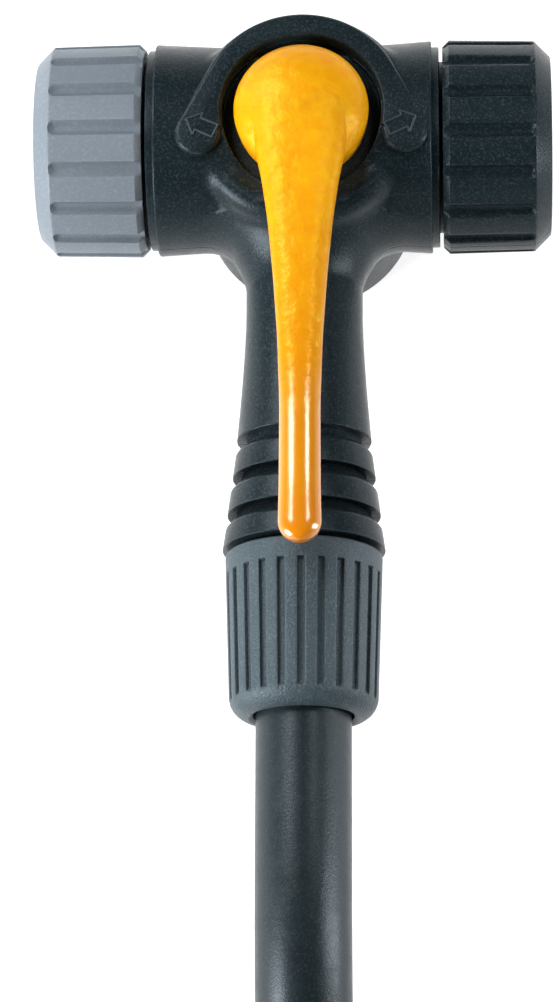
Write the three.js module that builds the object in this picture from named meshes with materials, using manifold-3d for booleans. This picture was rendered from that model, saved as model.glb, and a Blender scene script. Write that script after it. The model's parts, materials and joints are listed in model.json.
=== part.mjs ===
// Twin-valve pump head on its hose, lying on its back.
// Millimetres, +Z up. X is the barrel, -Y is the way the stem and hose point, and Z is the lever's
// pivot. The origin is the middle of the rear boss's flat end, under the pivot.
import * as THREE from "three";
import { mergeVertices } from "three/addons/utils/BufferGeometryUtils.js";
import Module from "manifold-3d";

// ---------------------------------------------------------------- driving dimensions
const AXIS_HEIGHT = 21.5; // barrel axis above the flat end of the rear boss
const FACETS = 40; // flats round a turned piece
const INNER_FACETS = 24; // flats round what works inside
const SMALL_FACETS = 16; // flats round a small piece

// Barrel
const BORE_RADIUS = 8.0;
const WAIST_RADIUS = 12.4; // barrel at its middle
const LIP_RADIUS = 13.15; // barrel where it flares to its two ends
const LIP_LAND = 1.2; // straight part of the flare beside the lip
const COLLAR_RADIUS = 12.4;
const COLLAR_LENGTH = 0.9;
const NECK_RADIUS = 10.6; // threaded neck that a cap screws on

// Valve ends: the grey cap takes the thin valve and the black cap takes the wide one
const ENDS = {
  grey: { way: -1, lip: 18.2, mouthRadius: 3.4, gasketBore: 3.2, capColor: 0x86939d, grooveTurn: 8.9 },
  black: { way: 1, lip: 15.8, mouthRadius: 4.5, gasketBore: 4.2, capColor: 0x1f242a, grooveTurn: 13.2 },
};

// Caps
const CAP_GAP = 0.45; // slot that shows between collar and cap
const CAP_LENGTH = 13.3;
const CAP_RADIUS = 13.2; // at the inner end
const CAP_DRAFT = 0.2; // less radius at the outer end
const CAP_OUTER_CHAMFER = 2.0;
const CAP_INNER_CHAMFER = 0.8;
const CAP_END_WALL = 3.0;
const CAP_BORE_CLEARANCE = 0.3; // round the neck
const CAP_GROOVES = 16;
const CAP_GROOVE_CUTTER = 0.95;
const CAP_GROOVE_DEPTH = 0.62;
const CAP_GROOVE_RUN = 0.2; // past the start of the outer chamfer
const MOUTH_CHAMFER = 0.7;

// Washer and rubber gasket inside each cap
const WASHER_THICKNESS = 1.1;
const WASHER_RADIUS = NECK_RADIUS - 0.4;
const GASKET_LENGTH = 7.2;
const GASKET_RADIUS = 7.7;
const SEAT_GAP = 0.1; // between pieces that touch

// Pivot boss, with the recess that the lever hub turns in
const BOSS_RADIUS = 13.9;
const BOSS_ROUND = 2.1; // half-round rim
const BOSS_TOP = 11.0; // top of the rim above the barrel axis
const RECESS_RADIUS = 9.7;
const RECESS_FLOOR = 10.0;
const PLATE_THICKNESS = 1.9;
const PLATE_RADIUS = 12.7;
const LOBE_X = 12.6; // middle of each round lobe of the horseshoe plate
const LOBE_Y = -2.65;
const LOBE_RADIUS = 2.9; // the lobes run round to the recess

// Rear boss
const REAR_RADIUS = 13.3;
const REAR_EDGE_ROUND = 1.0;
const COVER_RADIUS = 9.0;
const COVER_THICKNESS = 1.2;
const COVER_CLEARANCE = 0.15;
const SCREW_WELL_RADIUS = 6.4;
const SCREW_WELL_DEPTH = 5.0; // from the rest face to the ledge that the washer bears on

// Lever
const HUB_RADIUS = 8.2;
const HUB_EQUATOR = 12.9; // widest height of the hub above the barrel axis
const HUB_DOME_HEIGHT = 4.9;
const LEVER_SWING = 75; // degrees each way
// distance from the pivot, half width, top and underside above the barrel axis
const ARM = [
  [3.0, 5.5, 17.6, 12.6],
  [7.0, 5.3, 17.5, 13.8],
  [9.0, 4.65, 17.4, 13.8],
  [14.8, 3.9, 17.1, 13.7],
  [22.0, 3.2, 16.7, 13.5],
  [30.0, 2.65, 16.2, 13.3],
  [38.0, 2.45, 15.75, 13.1],
  [48.5, 2.5, 15.6, 12.9],
  [52.6, 2.6, 15.4, 12.8],
];
const ARM_TIP_STEPS = 4;
const ARM_SECTION_POINTS = 16;

// Cam shaft. The cam has the same breadth at every angle and pushes the shuttle CAM_LEAD per radian.
const CAM_HALF_BREADTH = 5.0;
const CAM_LEAD = 1.2;
const CAM_HALF_HEIGHT = 3.0;
const CAM_MARGIN = 1.0; // degrees of even lead past the lever's swing
const SHAFT_NECK_RADIUS = 3.2; // passes the yoke at full swing
const UPPER_JOURNAL_RADIUS = 6.5;
const LOWER_JOURNAL_RADIUS = 4.0;
const TURNING_CLEARANCE = 0.1;
const DRIVE_SQUARE = 7.0;
const DRIVE_HEIGHT = 2.8;
const SCREW_RADIUS = 2.0;
const SCREW_HEAD_RADIUS = 3.6;
const SCREW_HEAD_HEIGHT = 2.2;
const PIVOT_WASHER_RADIUS = 6.0;
const PIVOT_WASHER_THICKNESS = 0.8;

// Shuttle
const PISTON_RADIUS = 7.85;
const YOKE_HALF_LENGTH = 8.0;
const YOKE_HALF_HEIGHT = 3.1;
const YOKE_WINDOW_HALF_WIDTH = 6.9;
const WINDOW_CLEARANCE = 0.05;
const PLUNGER_GROOVE_INSET = 3.0; // from the plunger's face to its O-ring groove
const O_RING_SECTION = 0.85; // radius of the O-rings' rubber
const PIN_RADIUS = 1.1;
const PIN_REACH = 1.8; // of the valve pin past the plunger's face

// Stem: distance from the barrel axis and radius
const STEM_WAIST = 7.15;
const STEM_WAIST_START = 19.0;
const STEM_WAIST_END = 26.0;
const SHOULDER_RADIUS = 11.6; // stem where it grows out of the barrel
const SHOULDER_END = 11.0;
const SKIRT_RADIUS = 8.2;
const RING_ENDS = [38.5, 43.2, 47.9, 52.3]; // sharp lower edge of each skirt and ring
const RING_RADII = [SKIRT_RADIUS, 8.7, 9.3, 9.85];
const RING_GROOVE = 1.1; // width of the grooves between them
const RING_GROOVE_DEPTH = 1.2;
const RING_SHOULDER = 0.6; // rounded upper edge of a ring
const AIR_BORE_RADIUS = 3.0;
const SPIGOT_RADIUS = 7.4; // thread for the hose nut
const SPIGOT_END = 60.5;

// Hose barb, collet and nut
const BARB_SEAT_RADIUS = 4.6;
const BARB_SEAT_DEPTH = 14.5; // from the end of the spigot
const BARB_TAIL_LENGTH = 11.0;
const BARB_COUNT = 3;
const BARB_BORE_RADIUS = 1.8;
const NUT_GAP = 0.5; // slot between the last ring and the nut
const NUT_RADIUS = 9.5;
const NUT_DRAFT = 0.55; // less radius where the bottom corner starts
const NUT_CORNER = 2.6;
const NUT_TOP_ROUND = 0.5;
const NUT_END_WALL = 2.8;
const NUT_GROOVES = 24;
const NUT_GROOVE_WIDTH = 0.85;
const NUT_GROOVE_DEPTH = 0.5;
const NUT_GROOVE_START = 2.6; // from the top of the nut
const NUT_GROOVE_END = 1.9; // short of the bottom of the nut
const COLLET_GAP = 0.5; // between the spigot and the collet
const COLLET_PLAY = 0.2; // between the collet and the nut's end wall
const COLLET_LENGTH = 9.0;
const COLLET_RADIUS = SPIGOT_RADIUS - 0.2;
const COLLET_SHOULDER = 3.0; // length of its straight part
const COLLET_TAPER = 0.5;
const COLLET_SLOTS = 4;
const COLLET_SLOT_WIDTH = 1.0;

// Hose
const HOSE_RADIUS = 5.75;
const HOSE_BORE_RADIUS = 3.0;
const HOSE_SIDES = 12;
const HOSE_STEPS = 16; // along the free run
const HOSE_FIT = 0.2; // round the hose where a ring holds it
const FACE_GAP = 0.3; // between stretches of hose
// Free run from the nut down to the surface, chosen by hand
const HOSE_ROUTE = [
  [0, -61.2, 21.5],
  [0, -74, 21.5],
  [0, -82, 21.5],
  [0, -90, 21.45],
  [0, -99, 20.72],
  [0, -108, 18.53],
  [0, -117, 15.38],
  [0, -126, 11.87],
  [0, -135, 8.72],
  [0, -144, 6.53],
  [0, -153, 5.8],
  [0, -159.7, 5.75],
];
// Stored coil: turns of one size lie on each other, and each turn climbs a layer in its last part
const COIL_START_Y = -171.5;
const COIL_RADIUS = 52;
const COIL_LAYER_STEP = 11.95;
const COIL_CLIMBS = [[0.6, 1.0], [1.6, 2.0]]; // in turns
const COIL_LIFT = [2.3, 2.52]; // where the end rises, to give the thicker fitting room
const COIL_LIFT_HEIGHT = 1.8;
const COIL_END = 2.52;
const COIL_STEPS_PER_TURN = 20;
const COIL_SIDES = 6;

// Fitting at the pump end
const TAIL_LENGTH = 15;
const FERRULE_RADIUS = 6.9;
const FERRULE_LENGTH = 12;
const HEX_ACROSS_FLATS = 13;
const HEX_LENGTH = 5;
const STUD_RADIUS = 4.8;
const STUD_LENGTH = 8;
const STUD_WASHER_RADIUS = 6.3;
const STUD_WASHER_THICKNESS = 1.2;

// ---------------------------------------------------------------- materials
function plastic(color, roughness = 0.6) {
  return new THREE.MeshStandardMaterial({ color, roughness, metalness: 0 });
}
function metal(color, roughness = 0.35) {
  return new THREE.MeshStandardMaterial({ color, roughness, metalness: 1 });
}
const BLACK_NYLON = plastic(0x20262c);
const LEVER_YELLOW = plastic(0xffab0c, 0.35);
const WHITE_ACETAL = plastic(0xe6e4dc, 0.4);
const BLACK_RUBBER = plastic(0x151618, 0.85);
const HOSE_RUBBER = plastic(0x23282d, 0.5);
const STEEL = metal(0xb9bcc0);
const BRASS = metal(0xc8a04a);
const RED_OXIDE_RUBBER = plastic(0x8c2f25, 0.8);

// ---------------------------------------------------------------- making and joining solids
const wasm = await Module();
wasm.setup();

// Welds a geometry's corners, drops triangles without area and turns every face outwards.
function welded(geometry) {
  const bare = geometry.clone();
  bare.deleteAttribute("normal");
  bare.deleteAttribute("uv");
  const merged = mergeVertices(bare, 1e-4);
  const position = merged.attributes.position;
  const kept = [];
  for (let i = 0; i < merged.index.count; i += 3) {
    const [a, b, c] = [0, 1, 2].map((k) => merged.index.getX(i + k));
    if (a !== b && b !== c && c !== a) kept.push([a, b, c]);
  }
  const corner = (i) => new THREE.Vector3().fromBufferAttribute(position, i);
  const volume = kept.reduce((sum, [a, b, c]) => sum + corner(a).dot(corner(b).cross(corner(c))), 0);
  const faces = volume < 0 ? kept.map(([a, b, c]) => [a, c, b]) : kept;
  merged.setIndex(faces.flat());
  return merged;
}

function solid(geometry) {
  const closed = welded(geometry);
  return new wasm.Manifold(
    new wasm.Mesh({
      numProp: 3,
      vertProperties: Float32Array.from(closed.attributes.position.array),
      triVerts: Uint32Array.from(closed.index.array),
    }),
  );
}

function shape(manifold) {
  const mesh = manifold.getMesh();
  const geometry = new THREE.BufferGeometry();
  geometry.setAttribute("position", new THREE.BufferAttribute(mesh.vertProperties, 3));
  geometry.setIndex(new THREE.BufferAttribute(mesh.triVerts, 1));
  const faceted = geometry.toNonIndexed();
  faceted.computeVertexNormals();
  return faceted;
}

const joined = (...parts) => parts.reduce((all, part) => all.add(part));
const cut = (stock, ...tools) => stock.subtract(joined(...tools));

// Turned piece: profile rows are [distance along the axis, radius].
const ALONG = {
  "+X": new THREE.Matrix4().makeRotationZ(-Math.PI / 2),
  "-X": new THREE.Matrix4().makeRotationZ(Math.PI / 2),
  "-Y": new THREE.Matrix4().makeRotationX(Math.PI),
  "+Z": new THREE.Matrix4().makeRotationX(Math.PI / 2),
};
function turned(profile, axis, facets = FACETS) {
  const points = profile.map(([along, radius]) => new THREE.Vector2(radius, along));
  return welded(new THREE.LatheGeometry(points, facets).applyMatrix4(ALONG[axis]));
}
function rod(from, to, radius, axis, facets = FACETS) {
  return turned([[from, 0], [from, radius], [to, radius], [to, 0]], axis, facets);
}
function tube(from, to, outer, inner, axis, facets = FACETS) {
  const profile = [[from, inner], [from, outer], [to, outer], [to, inner], [from, inner]];
  return turned(profile, axis, facets);
}
function oRing(along, ringRadius, section, axis) {
  const profile = Array.from({ length: 7 }, (_, i) => {
    const angle = (-i * Math.PI) / 3;
    return [along + section * Math.sin(angle), ringRadius + section * Math.cos(angle)];
  });
  return turned(profile, axis, INNER_FACETS);
}
// Quarter round as profile rows, from angle a to b in degrees about [along, radius].
function arcRows(along, radius, round, a, b, steps = 4) {
  return Array.from({ length: steps + 1 }, (_, i) => {
    const angle = THREE.MathUtils.degToRad(a + ((b - a) * i) / steps);
    return [along + round * Math.cos(angle), radius + round * Math.sin(angle)];
  });
}
function box(width, depth, height, x = 0, y = 0, z = 0) {
  return new THREE.BoxGeometry(width, depth, height).translate(x, y, z);
}

// ---------------------------------------------------------------- places worked out from the sizes
function endPlaces(end) {
  const collarEnd = end.lip + COLLAR_LENGTH;
  const capStart = collarEnd + CAP_GAP;
  const capEnd = capStart + CAP_LENGTH;
  const washerEnd = capEnd - CAP_END_WALL - SEAT_GAP;
  const washerStart = washerEnd - WASHER_THICKNESS;
  const neckEnd = washerStart - SEAT_GAP;
  const gasketEnd = washerStart - SEAT_GAP;
  const gasketStart = gasketEnd - GASKET_LENGTH;
  const plungerFace = gasketStart - SEAT_GAP;
  const inner = { washerStart, washerEnd, gasketStart, gasketEnd, plungerFace };
  return { collarEnd, capStart, capEnd, neckEnd, ...inner };
}
for (const end of Object.values(ENDS)) {
  end.axis = end.way > 0 ? "+X" : "-X";
  Object.assign(end, endPlaces(end));
}
const REST = -AXIS_HEIGHT; // rest face, seen from the barrel axis
const LEDGE = REST + SCREW_WELL_DEPTH;
const SHAFT_FOOT = LEDGE - SEAT_GAP;
const HUB_FOOT = RECESS_FLOOR + SEAT_GAP;
const DRIVE_TOP = HUB_FOOT + DRIVE_HEIGHT;
const HUB_TOP = HUB_EQUATOR + HUB_DOME_HEIGHT;
const BARB_SEAT_START = SPIGOT_END - BARB_SEAT_DEPTH;
const COLLET_START = SPIGOT_END + COLLET_GAP;
const COLLET_STOP = COLLET_START + COLLET_LENGTH;
const NUT_START = RING_ENDS.at(-1) + NUT_GAP;
const NUT_END = COLLET_STOP + COLLET_PLAY + NUT_END_WALL;
const NUT_LENGTH = NUT_END - NUT_START;

// ---------------------------------------------------------------- head body
function barrelStock() {
  const { grey, black } = ENDS;
  return turned(
    [
      [-grey.neckEnd, 0],
      [-grey.neckEnd, NECK_RADIUS],
      [-grey.collarEnd, NECK_RADIUS],
      [-grey.collarEnd, COLLAR_RADIUS],
      [-grey.lip, COLLAR_RADIUS],
      [-grey.lip, LIP_RADIUS],
      [-grey.lip + LIP_LAND, LIP_RADIUS - 0.05],
      [-grey.lip / 2, (WAIST_RADIUS + LIP_RADIUS) / 2 - 0.1],
      [0, WAIST_RADIUS],
      [black.lip / 2, (WAIST_RADIUS + LIP_RADIUS) / 2 - 0.1],
      [black.lip - LIP_LAND, LIP_RADIUS - 0.05],
      [black.lip, LIP_RADIUS],
      [black.lip, COLLAR_RADIUS],
      [black.collarEnd, COLLAR_RADIUS],
      [black.collarEnd, NECK_RADIUS],
      [black.neckEnd, NECK_RADIUS],
      [black.neckEnd, 0],
    ],
    "+X",
  );
}

function bossStock() {
  const rim = arcRows(BOSS_TOP - BOSS_ROUND, BOSS_RADIUS - BOSS_ROUND, BOSS_ROUND, 90, 0, 5);
  return turned([[0, 0], [0, BOSS_RADIUS], ...rim, [BOSS_TOP, 0]], "+Z");
}

function rearBossStock() {
  const edge = arcRows(REST + REAR_EDGE_ROUND, REAR_RADIUS - REAR_EDGE_ROUND, REAR_EDGE_ROUND, 180, 90, 3);
  return turned([[REST, 0], ...edge, [0, REAR_RADIUS], [0, 0]], "+Z");
}

// Stem with its flared shoulder and the four overlapping rings, and the threaded spigot below.
function stemStock() {
  const flare = STEM_WAIST_START - SHOULDER_END;
  const shoulder = Array.from({ length: 6 }, (_, i) => {
    const angle = (Math.PI / 2) * (i / 5);
    const drop = SHOULDER_RADIUS - STEM_WAIST;
    return [SHOULDER_END + flare * Math.sin(angle), STEM_WAIST + drop * (1 - Math.sin(angle)) ** 1.4];
  });
  const rows = [[0, 0], [0, SHOULDER_RADIUS], ...shoulder, [STEM_WAIST_END, STEM_WAIST + 0.03]];
  rows.push([(STEM_WAIST_END + RING_ENDS[0]) / 2, STEM_WAIST + 0.35]);
  RING_ENDS.forEach((end, i) => {
    rows.push([end, RING_RADII[i]]);
    if (i === RING_ENDS.length - 1) return;
    const floor = RING_RADII[i] - RING_GROOVE_DEPTH;
    const next = RING_RADII[i + 1] - 0.35;
    rows.push([end, floor], [end + RING_GROOVE, floor], [end + RING_GROOVE, next - RING_SHOULDER]);
    rows.push([end + RING_GROOVE + RING_SHOULDER, next]);
  });
  const foot = RING_ENDS.at(-1);
  return turned([...rows, [foot, SPIGOT_RADIUS], [SPIGOT_END, SPIGOT_RADIUS], [SPIGOT_END, 0]], "-Y");
}

function headBody() {
  const stock = joined(...[barrelStock(), bossStock(), rearBossStock(), stemStock()].map(solid));
  const { grey, black } = ENDS;
  const coverSeat = REST + COVER_THICKNESS + SEAT_GAP;
  const bores = [
    [-grey.neckEnd - 1, black.neckEnd + 1, BORE_RADIUS, "+X", INNER_FACETS],
    [RECESS_FLOOR, BOSS_TOP + 5, RECESS_RADIUS, "+Z", FACETS],
    [0, RECESS_FLOOR + 1, UPPER_JOURNAL_RADIUS + TURNING_CLEARANCE, "+Z", INNER_FACETS],
    [LEDGE - 1, 0, LOWER_JOURNAL_RADIUS + TURNING_CLEARANCE, "+Z", INNER_FACETS],
    [REST - 1, LEDGE, SCREW_WELL_RADIUS, "+Z", INNER_FACETS],
    [REST - 1, coverSeat, COVER_RADIUS + COVER_CLEARANCE, "+Z", INNER_FACETS],
    [0, SPIGOT_END, AIR_BORE_RADIUS, "-Y", SMALL_FACETS],
    [BARB_SEAT_START, SPIGOT_END + 1, BARB_SEAT_RADIUS, "-Y", SMALL_FACETS],
  ];
  const plateSeat = directionPlate(SEAT_GAP, PLATE_THICKNESS + 5);
  return cut(stock, solid(plateSeat), ...bores.map((bore) => solid(rod(...bore))));
}

// Horseshoe plate round the upper part of the recess, with a round lobe at each end. It lies in a
// seat of the same outline, grown by a clearance.
function directionPlate(grow = 0, thickness = PLATE_THICKNESS) {
  const lobe = Math.atan2(LOBE_Y, LOBE_X);
  const reach = Math.hypot(LOBE_X, LOBE_Y);
  const tangent = lobe + Math.acos((PLATE_RADIUS - LOBE_RADIUS) / reach);
  const outer = PLATE_RADIUS + grow;
  const lobeRadius = LOBE_RADIUS + grow;
  const inner = RECESS_RADIUS + SEAT_GAP - 6 * grow; // the seat opens into the recess
  const outline = new THREE.Shape();
  outline.absarc(0, 0, outer, tangent, Math.PI - tangent, false);
  outline.absarc(-LOBE_X, LOBE_Y, lobeRadius, Math.PI - tangent, 2 * Math.PI - lobe, false);
  outline.absarc(0, 0, inner, Math.PI - lobe, lobe, true);
  outline.absarc(LOBE_X, LOBE_Y, lobeRadius, lobe - Math.PI, tangent, false);
  const options = { depth: thickness, bevelEnabled: false, curveSegments: 18 };
  return new THREE.ExtrudeGeometry(outline, options).translate(0, 0, BOSS_TOP + SEAT_GAP - grow);
}

// ---------------------------------------------------------------- lever, cam shaft and their fastening
function loft(rings) {
  const count = rings[0].length;
  const vertices = rings.flat();
  const faces = [];
  for (let r = 0; r < rings.length - 1; r += 1) {
    for (let i = 0; i < count; i += 1) {
      const [a, b] = [r * count + i, r * count + ((i + 1) % count)];
      faces.push(a, b, b + count, a, b + count, a + count);
    }
  }
  const last = (rings.length - 1) * count;
  for (let i = 1; i < count - 1; i += 1) faces.push(0, i + 1, i, last, last + i, last + i + 1);
  const geometry = new THREE.BufferGeometry().setFromPoints(vertices);
  geometry.setIndex(faces);
  return welded(geometry);
}

// Arm section: flat underside with small corners and a crowned top.
function armRing([distance, halfWidth, top, underside]) {
  return Array.from({ length: ARM_SECTION_POINTS }, (_, i) => {
    const angle = (2 * Math.PI * (i + 0.5)) / ARM_SECTION_POINTS;
    const [c, s] = [Math.cos(angle), Math.sin(angle)];
    const side = Math.sign(c) * Math.abs(c) ** 0.75;
    const middle = underside + 0.35 * (top - underside);
    const rise = s > 0 ? (top - middle) * s ** 0.9 : (underside - middle) * Math.abs(s) ** 0.5;
    return new THREE.Vector3(halfWidth * side, -distance, middle + rise);
  });
}

function lever() {
  const [tipDistance, tipWidth, tipTop, tipUnder] = ARM.at(-1);
  const middle = (tipTop + tipUnder) / 2;
  const tip = Array.from({ length: ARM_TIP_STEPS }, (_, i) => {
    const angle = (Math.PI / 2) * ((i + 1) / (ARM_TIP_STEPS + 0.3));
    const shrink = Math.cos(angle);
    const half = ((tipTop - tipUnder) / 2) * (0.45 + 0.55 * shrink);
    return [tipDistance + tipWidth * Math.sin(angle), tipWidth * shrink, middle + half, middle - half];
  });
  const arm = solid(loft([...ARM, ...tip].map(armRing)));
  const dome = Array.from({ length: 9 }, (_, i) => {
    const angle = (Math.PI / 2) * (i / 8);
    return [HUB_EQUATOR + HUB_DOME_HEIGHT * Math.sin(angle), HUB_RADIUS * Math.cos(angle)];
  });
  const hub = solid(turned([[HUB_FOOT, 0], [HUB_FOOT, HUB_RADIUS - 0.2], ...dome], "+Z"));
  const side = DRIVE_SQUARE + 2 * TURNING_CLEARANCE;
  const socketHeight = DRIVE_HEIGHT + SEAT_GAP;
  return cut(
    joined(arm, hub),
    solid(box(side, side, socketHeight + 2, 0, 0, HUB_FOOT + socketHeight / 2 - 1)),
    solid(rod(HUB_FOOT, screwTip() + SEAT_GAP, SCREW_RADIUS + TURNING_CLEARANCE, "+Z", SMALL_FACETS)),
  );
}
function screwTip() {
  return HUB_TOP - 1.4;
}

// Cam outline from its support function: even lead across the swing, then a smooth turn back, and
// the far side mirrored so that the breadth stays the same.
function camOutline() {
  const even = THREE.MathUtils.degToRad(LEVER_SWING + CAM_MARGIN);
  const turn = Math.PI - 2 * even;
  const near = (angle) => {
    if (angle <= even) return [CAM_HALF_BREADTH - CAM_LEAD * angle, -CAM_LEAD];
    const u = angle - even;
    const support = CAM_HALF_BREADTH - CAM_LEAD * (even + u - (u * u) / turn);
    return [support, CAM_LEAD * ((2 * u) / turn - 1)];
  };
  const steps = 48;
  const points = Array.from({ length: steps }, (_, i) => {
    const angle = -even + (2 * Math.PI * i) / steps;
    const far = angle > Math.PI - even;
    const [p, slope] = near(far ? angle - Math.PI : angle);
    const support = far ? 2 * CAM_HALF_BREADTH - p : p;
    const rate = far ? -slope : slope;
    return new THREE.Vector2(
      support * Math.cos(angle) - rate * Math.sin(angle),
      support * Math.sin(angle) + rate * Math.cos(angle),
    );
  });
  return new THREE.Shape(points);
}

function camShaft() {
  const cam = new THREE.ExtrudeGeometry(camOutline(), { depth: 2 * CAM_HALF_HEIGHT, bevelEnabled: false });
  cam.translate(0, 0, -CAM_HALF_HEIGHT);
  const upper = upperSeal();
  const lower = lowerSeal();
  const journalStart = BORE_RADIUS + SEAT_GAP;
  const post = turned(
    [
      [SHAFT_FOOT, 0],
      [SHAFT_FOOT, LOWER_JOURNAL_RADIUS],
      [lower.along - O_RING_SECTION, LOWER_JOURNAL_RADIUS],
      [lower.along - O_RING_SECTION, lower.floor],
      [lower.along + O_RING_SECTION, lower.floor],
      [lower.along + O_RING_SECTION, LOWER_JOURNAL_RADIUS],
      [-BORE_RADIUS, LOWER_JOURNAL_RADIUS],
      [-BORE_RADIUS, SHAFT_NECK_RADIUS],
      [journalStart, SHAFT_NECK_RADIUS],
      [journalStart, upper.floor],
      [upper.along + O_RING_SECTION, upper.floor],
      [upper.along + O_RING_SECTION, UPPER_JOURNAL_RADIUS],
      [RECESS_FLOOR, UPPER_JOURNAL_RADIUS],
      [RECESS_FLOOR, 0],
    ],
    "+Z",
    INNER_FACETS,
  );
  const drive = box(DRIVE_SQUARE, DRIVE_SQUARE, DRIVE_HEIGHT + 1, 0, 0, DRIVE_TOP - (DRIVE_HEIGHT + 1) / 2);
  return cut(
    joined(solid(post), solid(cam), solid(drive)),
    solid(rod(SHAFT_FOOT - 1, DRIVE_TOP + 1, SCREW_RADIUS + TURNING_CLEARANCE, "+Z", SMALL_FACETS)),
  );
}
// O-ring places on the shaft: height above the barrel axis, groove floor and ring radius
function upperSeal() {
  const ring = UPPER_JOURNAL_RADIUS - O_RING_SECTION;
  return { along: BORE_RADIUS + SEAT_GAP + O_RING_SECTION, floor: ring - O_RING_SECTION - 0.05, ring };
}
function lowerSeal() {
  const ring = LOWER_JOURNAL_RADIUS - O_RING_SECTION;
  return { along: -BORE_RADIUS - 2.2, floor: ring - O_RING_SECTION - 0.03, ring };
}
function sealRing({ along, ring }) {
  return oRing(along, ring, O_RING_SECTION - 0.04, "+Z");
}

function pivotScrew() {
  const headTop = SHAFT_FOOT - SEAT_GAP - PIVOT_WASHER_THICKNESS - SEAT_GAP;
  const head = solid(rod(headTop - SCREW_HEAD_HEIGHT, headTop, SCREW_HEAD_RADIUS, "+Z", SMALL_FACETS));
  const shank = solid(rod(headTop - 0.5, screwTip(), SCREW_RADIUS - 0.3, "+Z", SMALL_FACETS));
  const socket = new THREE.CylinderGeometry(1.45, 1.45, 2.4, 6).rotateX(Math.PI / 2);
  return cut(joined(head, shank), solid(socket.translate(0, 0, headTop - SCREW_HEAD_HEIGHT)));
}
function pivotWasher() {
  const top = SHAFT_FOOT - SEAT_GAP;
  return tube(top - PIVOT_WASHER_THICKNESS, top, PIVOT_WASHER_RADIUS, SCREW_RADIUS, "+Z", SMALL_FACETS);
}
function rearCover() {
  return rod(REST, REST + COVER_THICKNESS, COVER_RADIUS, "+Z", INNER_FACETS);
}

// ---------------------------------------------------------------- shuttle
function shuttleYoke() {
  const length = 2 * YOKE_HALF_LENGTH;
  const round = solid(rod(-YOKE_HALF_LENGTH, YOKE_HALF_LENGTH, PISTON_RADIUS, "+X", INNER_FACETS));
  const slab = solid(box(length + 2, 3 * PISTON_RADIUS, 2 * YOKE_HALF_HEIGHT));
  const window = 2 * (CAM_HALF_BREADTH + WINDOW_CLEARANCE);
  return cut(round.intersect(slab), solid(box(window, 2 * YOKE_WINDOW_HALF_WIDTH, 20)));
}

// Piston between the yoke and the gasket, with an O-ring groove and four air slots in its face.
function plunger(end) {
  const start = YOKE_HALF_LENGTH + SEAT_GAP;
  const { groove, floor } = plungerSeal(end);
  const piston = turned(
    [
      [start, 0],
      [start, PISTON_RADIUS],
      [groove - O_RING_SECTION, PISTON_RADIUS],
      [groove - O_RING_SECTION, floor],
      [groove + O_RING_SECTION, floor],
      [groove + O_RING_SECTION, PISTON_RADIUS],
      [end.plungerFace, PISTON_RADIUS],
      [end.plungerFace, 0],
    ],
    end.axis,
    INNER_FACETS,
  );
  const well = rod(end.plungerFace - 2.2, end.plungerFace + 1, end.gasketBore, end.axis, SMALL_FACETS);
  const hole = rod(start - 1, end.plungerFace, PIN_RADIUS + 0.1, end.axis, SMALL_FACETS);
  return cut(solid(piston), solid(well), solid(hole));
}
function plungerSeal(end) {
  const ring = PISTON_RADIUS - O_RING_SECTION + 0.05;
  return { groove: end.plungerFace - PLUNGER_GROOVE_INSET, floor: ring - O_RING_SECTION - 0.05, ring };
}
function plungerRing(end) {
  const { groove, ring } = plungerSeal(end);
  return oRing(groove, ring, O_RING_SECTION - 0.04, end.axis);
}
// Pin that opens the core of a wide valve, standing in the plunger's centre hole
function valvePin(end) {
  const foot = YOKE_HALF_LENGTH + 2 * SEAT_GAP;
  const tip = end.plungerFace + PIN_REACH;
  const rows = [[foot, 0], [foot, PIN_RADIUS], [tip - 0.5, PIN_RADIUS], [tip, PIN_RADIUS - 0.5], [tip, 0]];
  return turned(rows, end.axis, SMALL_FACETS);
}

// ---------------------------------------------------------------- valve ends
function gasket(end) {
  const { gasketStart: start, gasketEnd: stop, gasketBore: bore } = end;
  const lead = 0.5;
  return turned(
    [
      [start, bore],
      [start, GASKET_RADIUS - lead],
      [start + lead, GASKET_RADIUS],
      [stop, GASKET_RADIUS],
      [stop, bore + lead],
      [stop - lead, bore],
      [start, bore],
    ],
    end.axis,
    INNER_FACETS,
  );
}
function washer(end) {
  return tube(end.washerStart, end.washerEnd, WASHER_RADIUS, end.mouthRadius, end.axis, INNER_FACETS);
}

function cap(end) {
  const { capStart: start, capEnd: stop } = end;
  const outer = CAP_RADIUS - CAP_DRAFT;
  const stock = turned(
    [
      [start, 0],
      [start, CAP_RADIUS - CAP_INNER_CHAMFER],
      [start + CAP_INNER_CHAMFER, CAP_RADIUS],
      [stop - CAP_OUTER_CHAMFER, outer],
      [stop, outer - CAP_OUTER_CHAMFER],
      [stop, 0],
    ],
    end.axis,
  );
  const bore = rod(start - 1, stop - CAP_END_WALL, NECK_RADIUS + CAP_BORE_CLEARANCE, end.axis);
  const mouth = turned(
    [
      [start, 0],
      [start, end.mouthRadius],
      [stop - MOUTH_CHAMFER, end.mouthRadius],
      [stop + 0.3, end.mouthRadius + MOUTH_CHAMFER + 0.3],
      [stop + 0.3, 0],
    ],
    end.axis,
  );
  return cut(solid(stock), solid(bore), solid(mouth), ...capGrooves(end));
}
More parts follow.
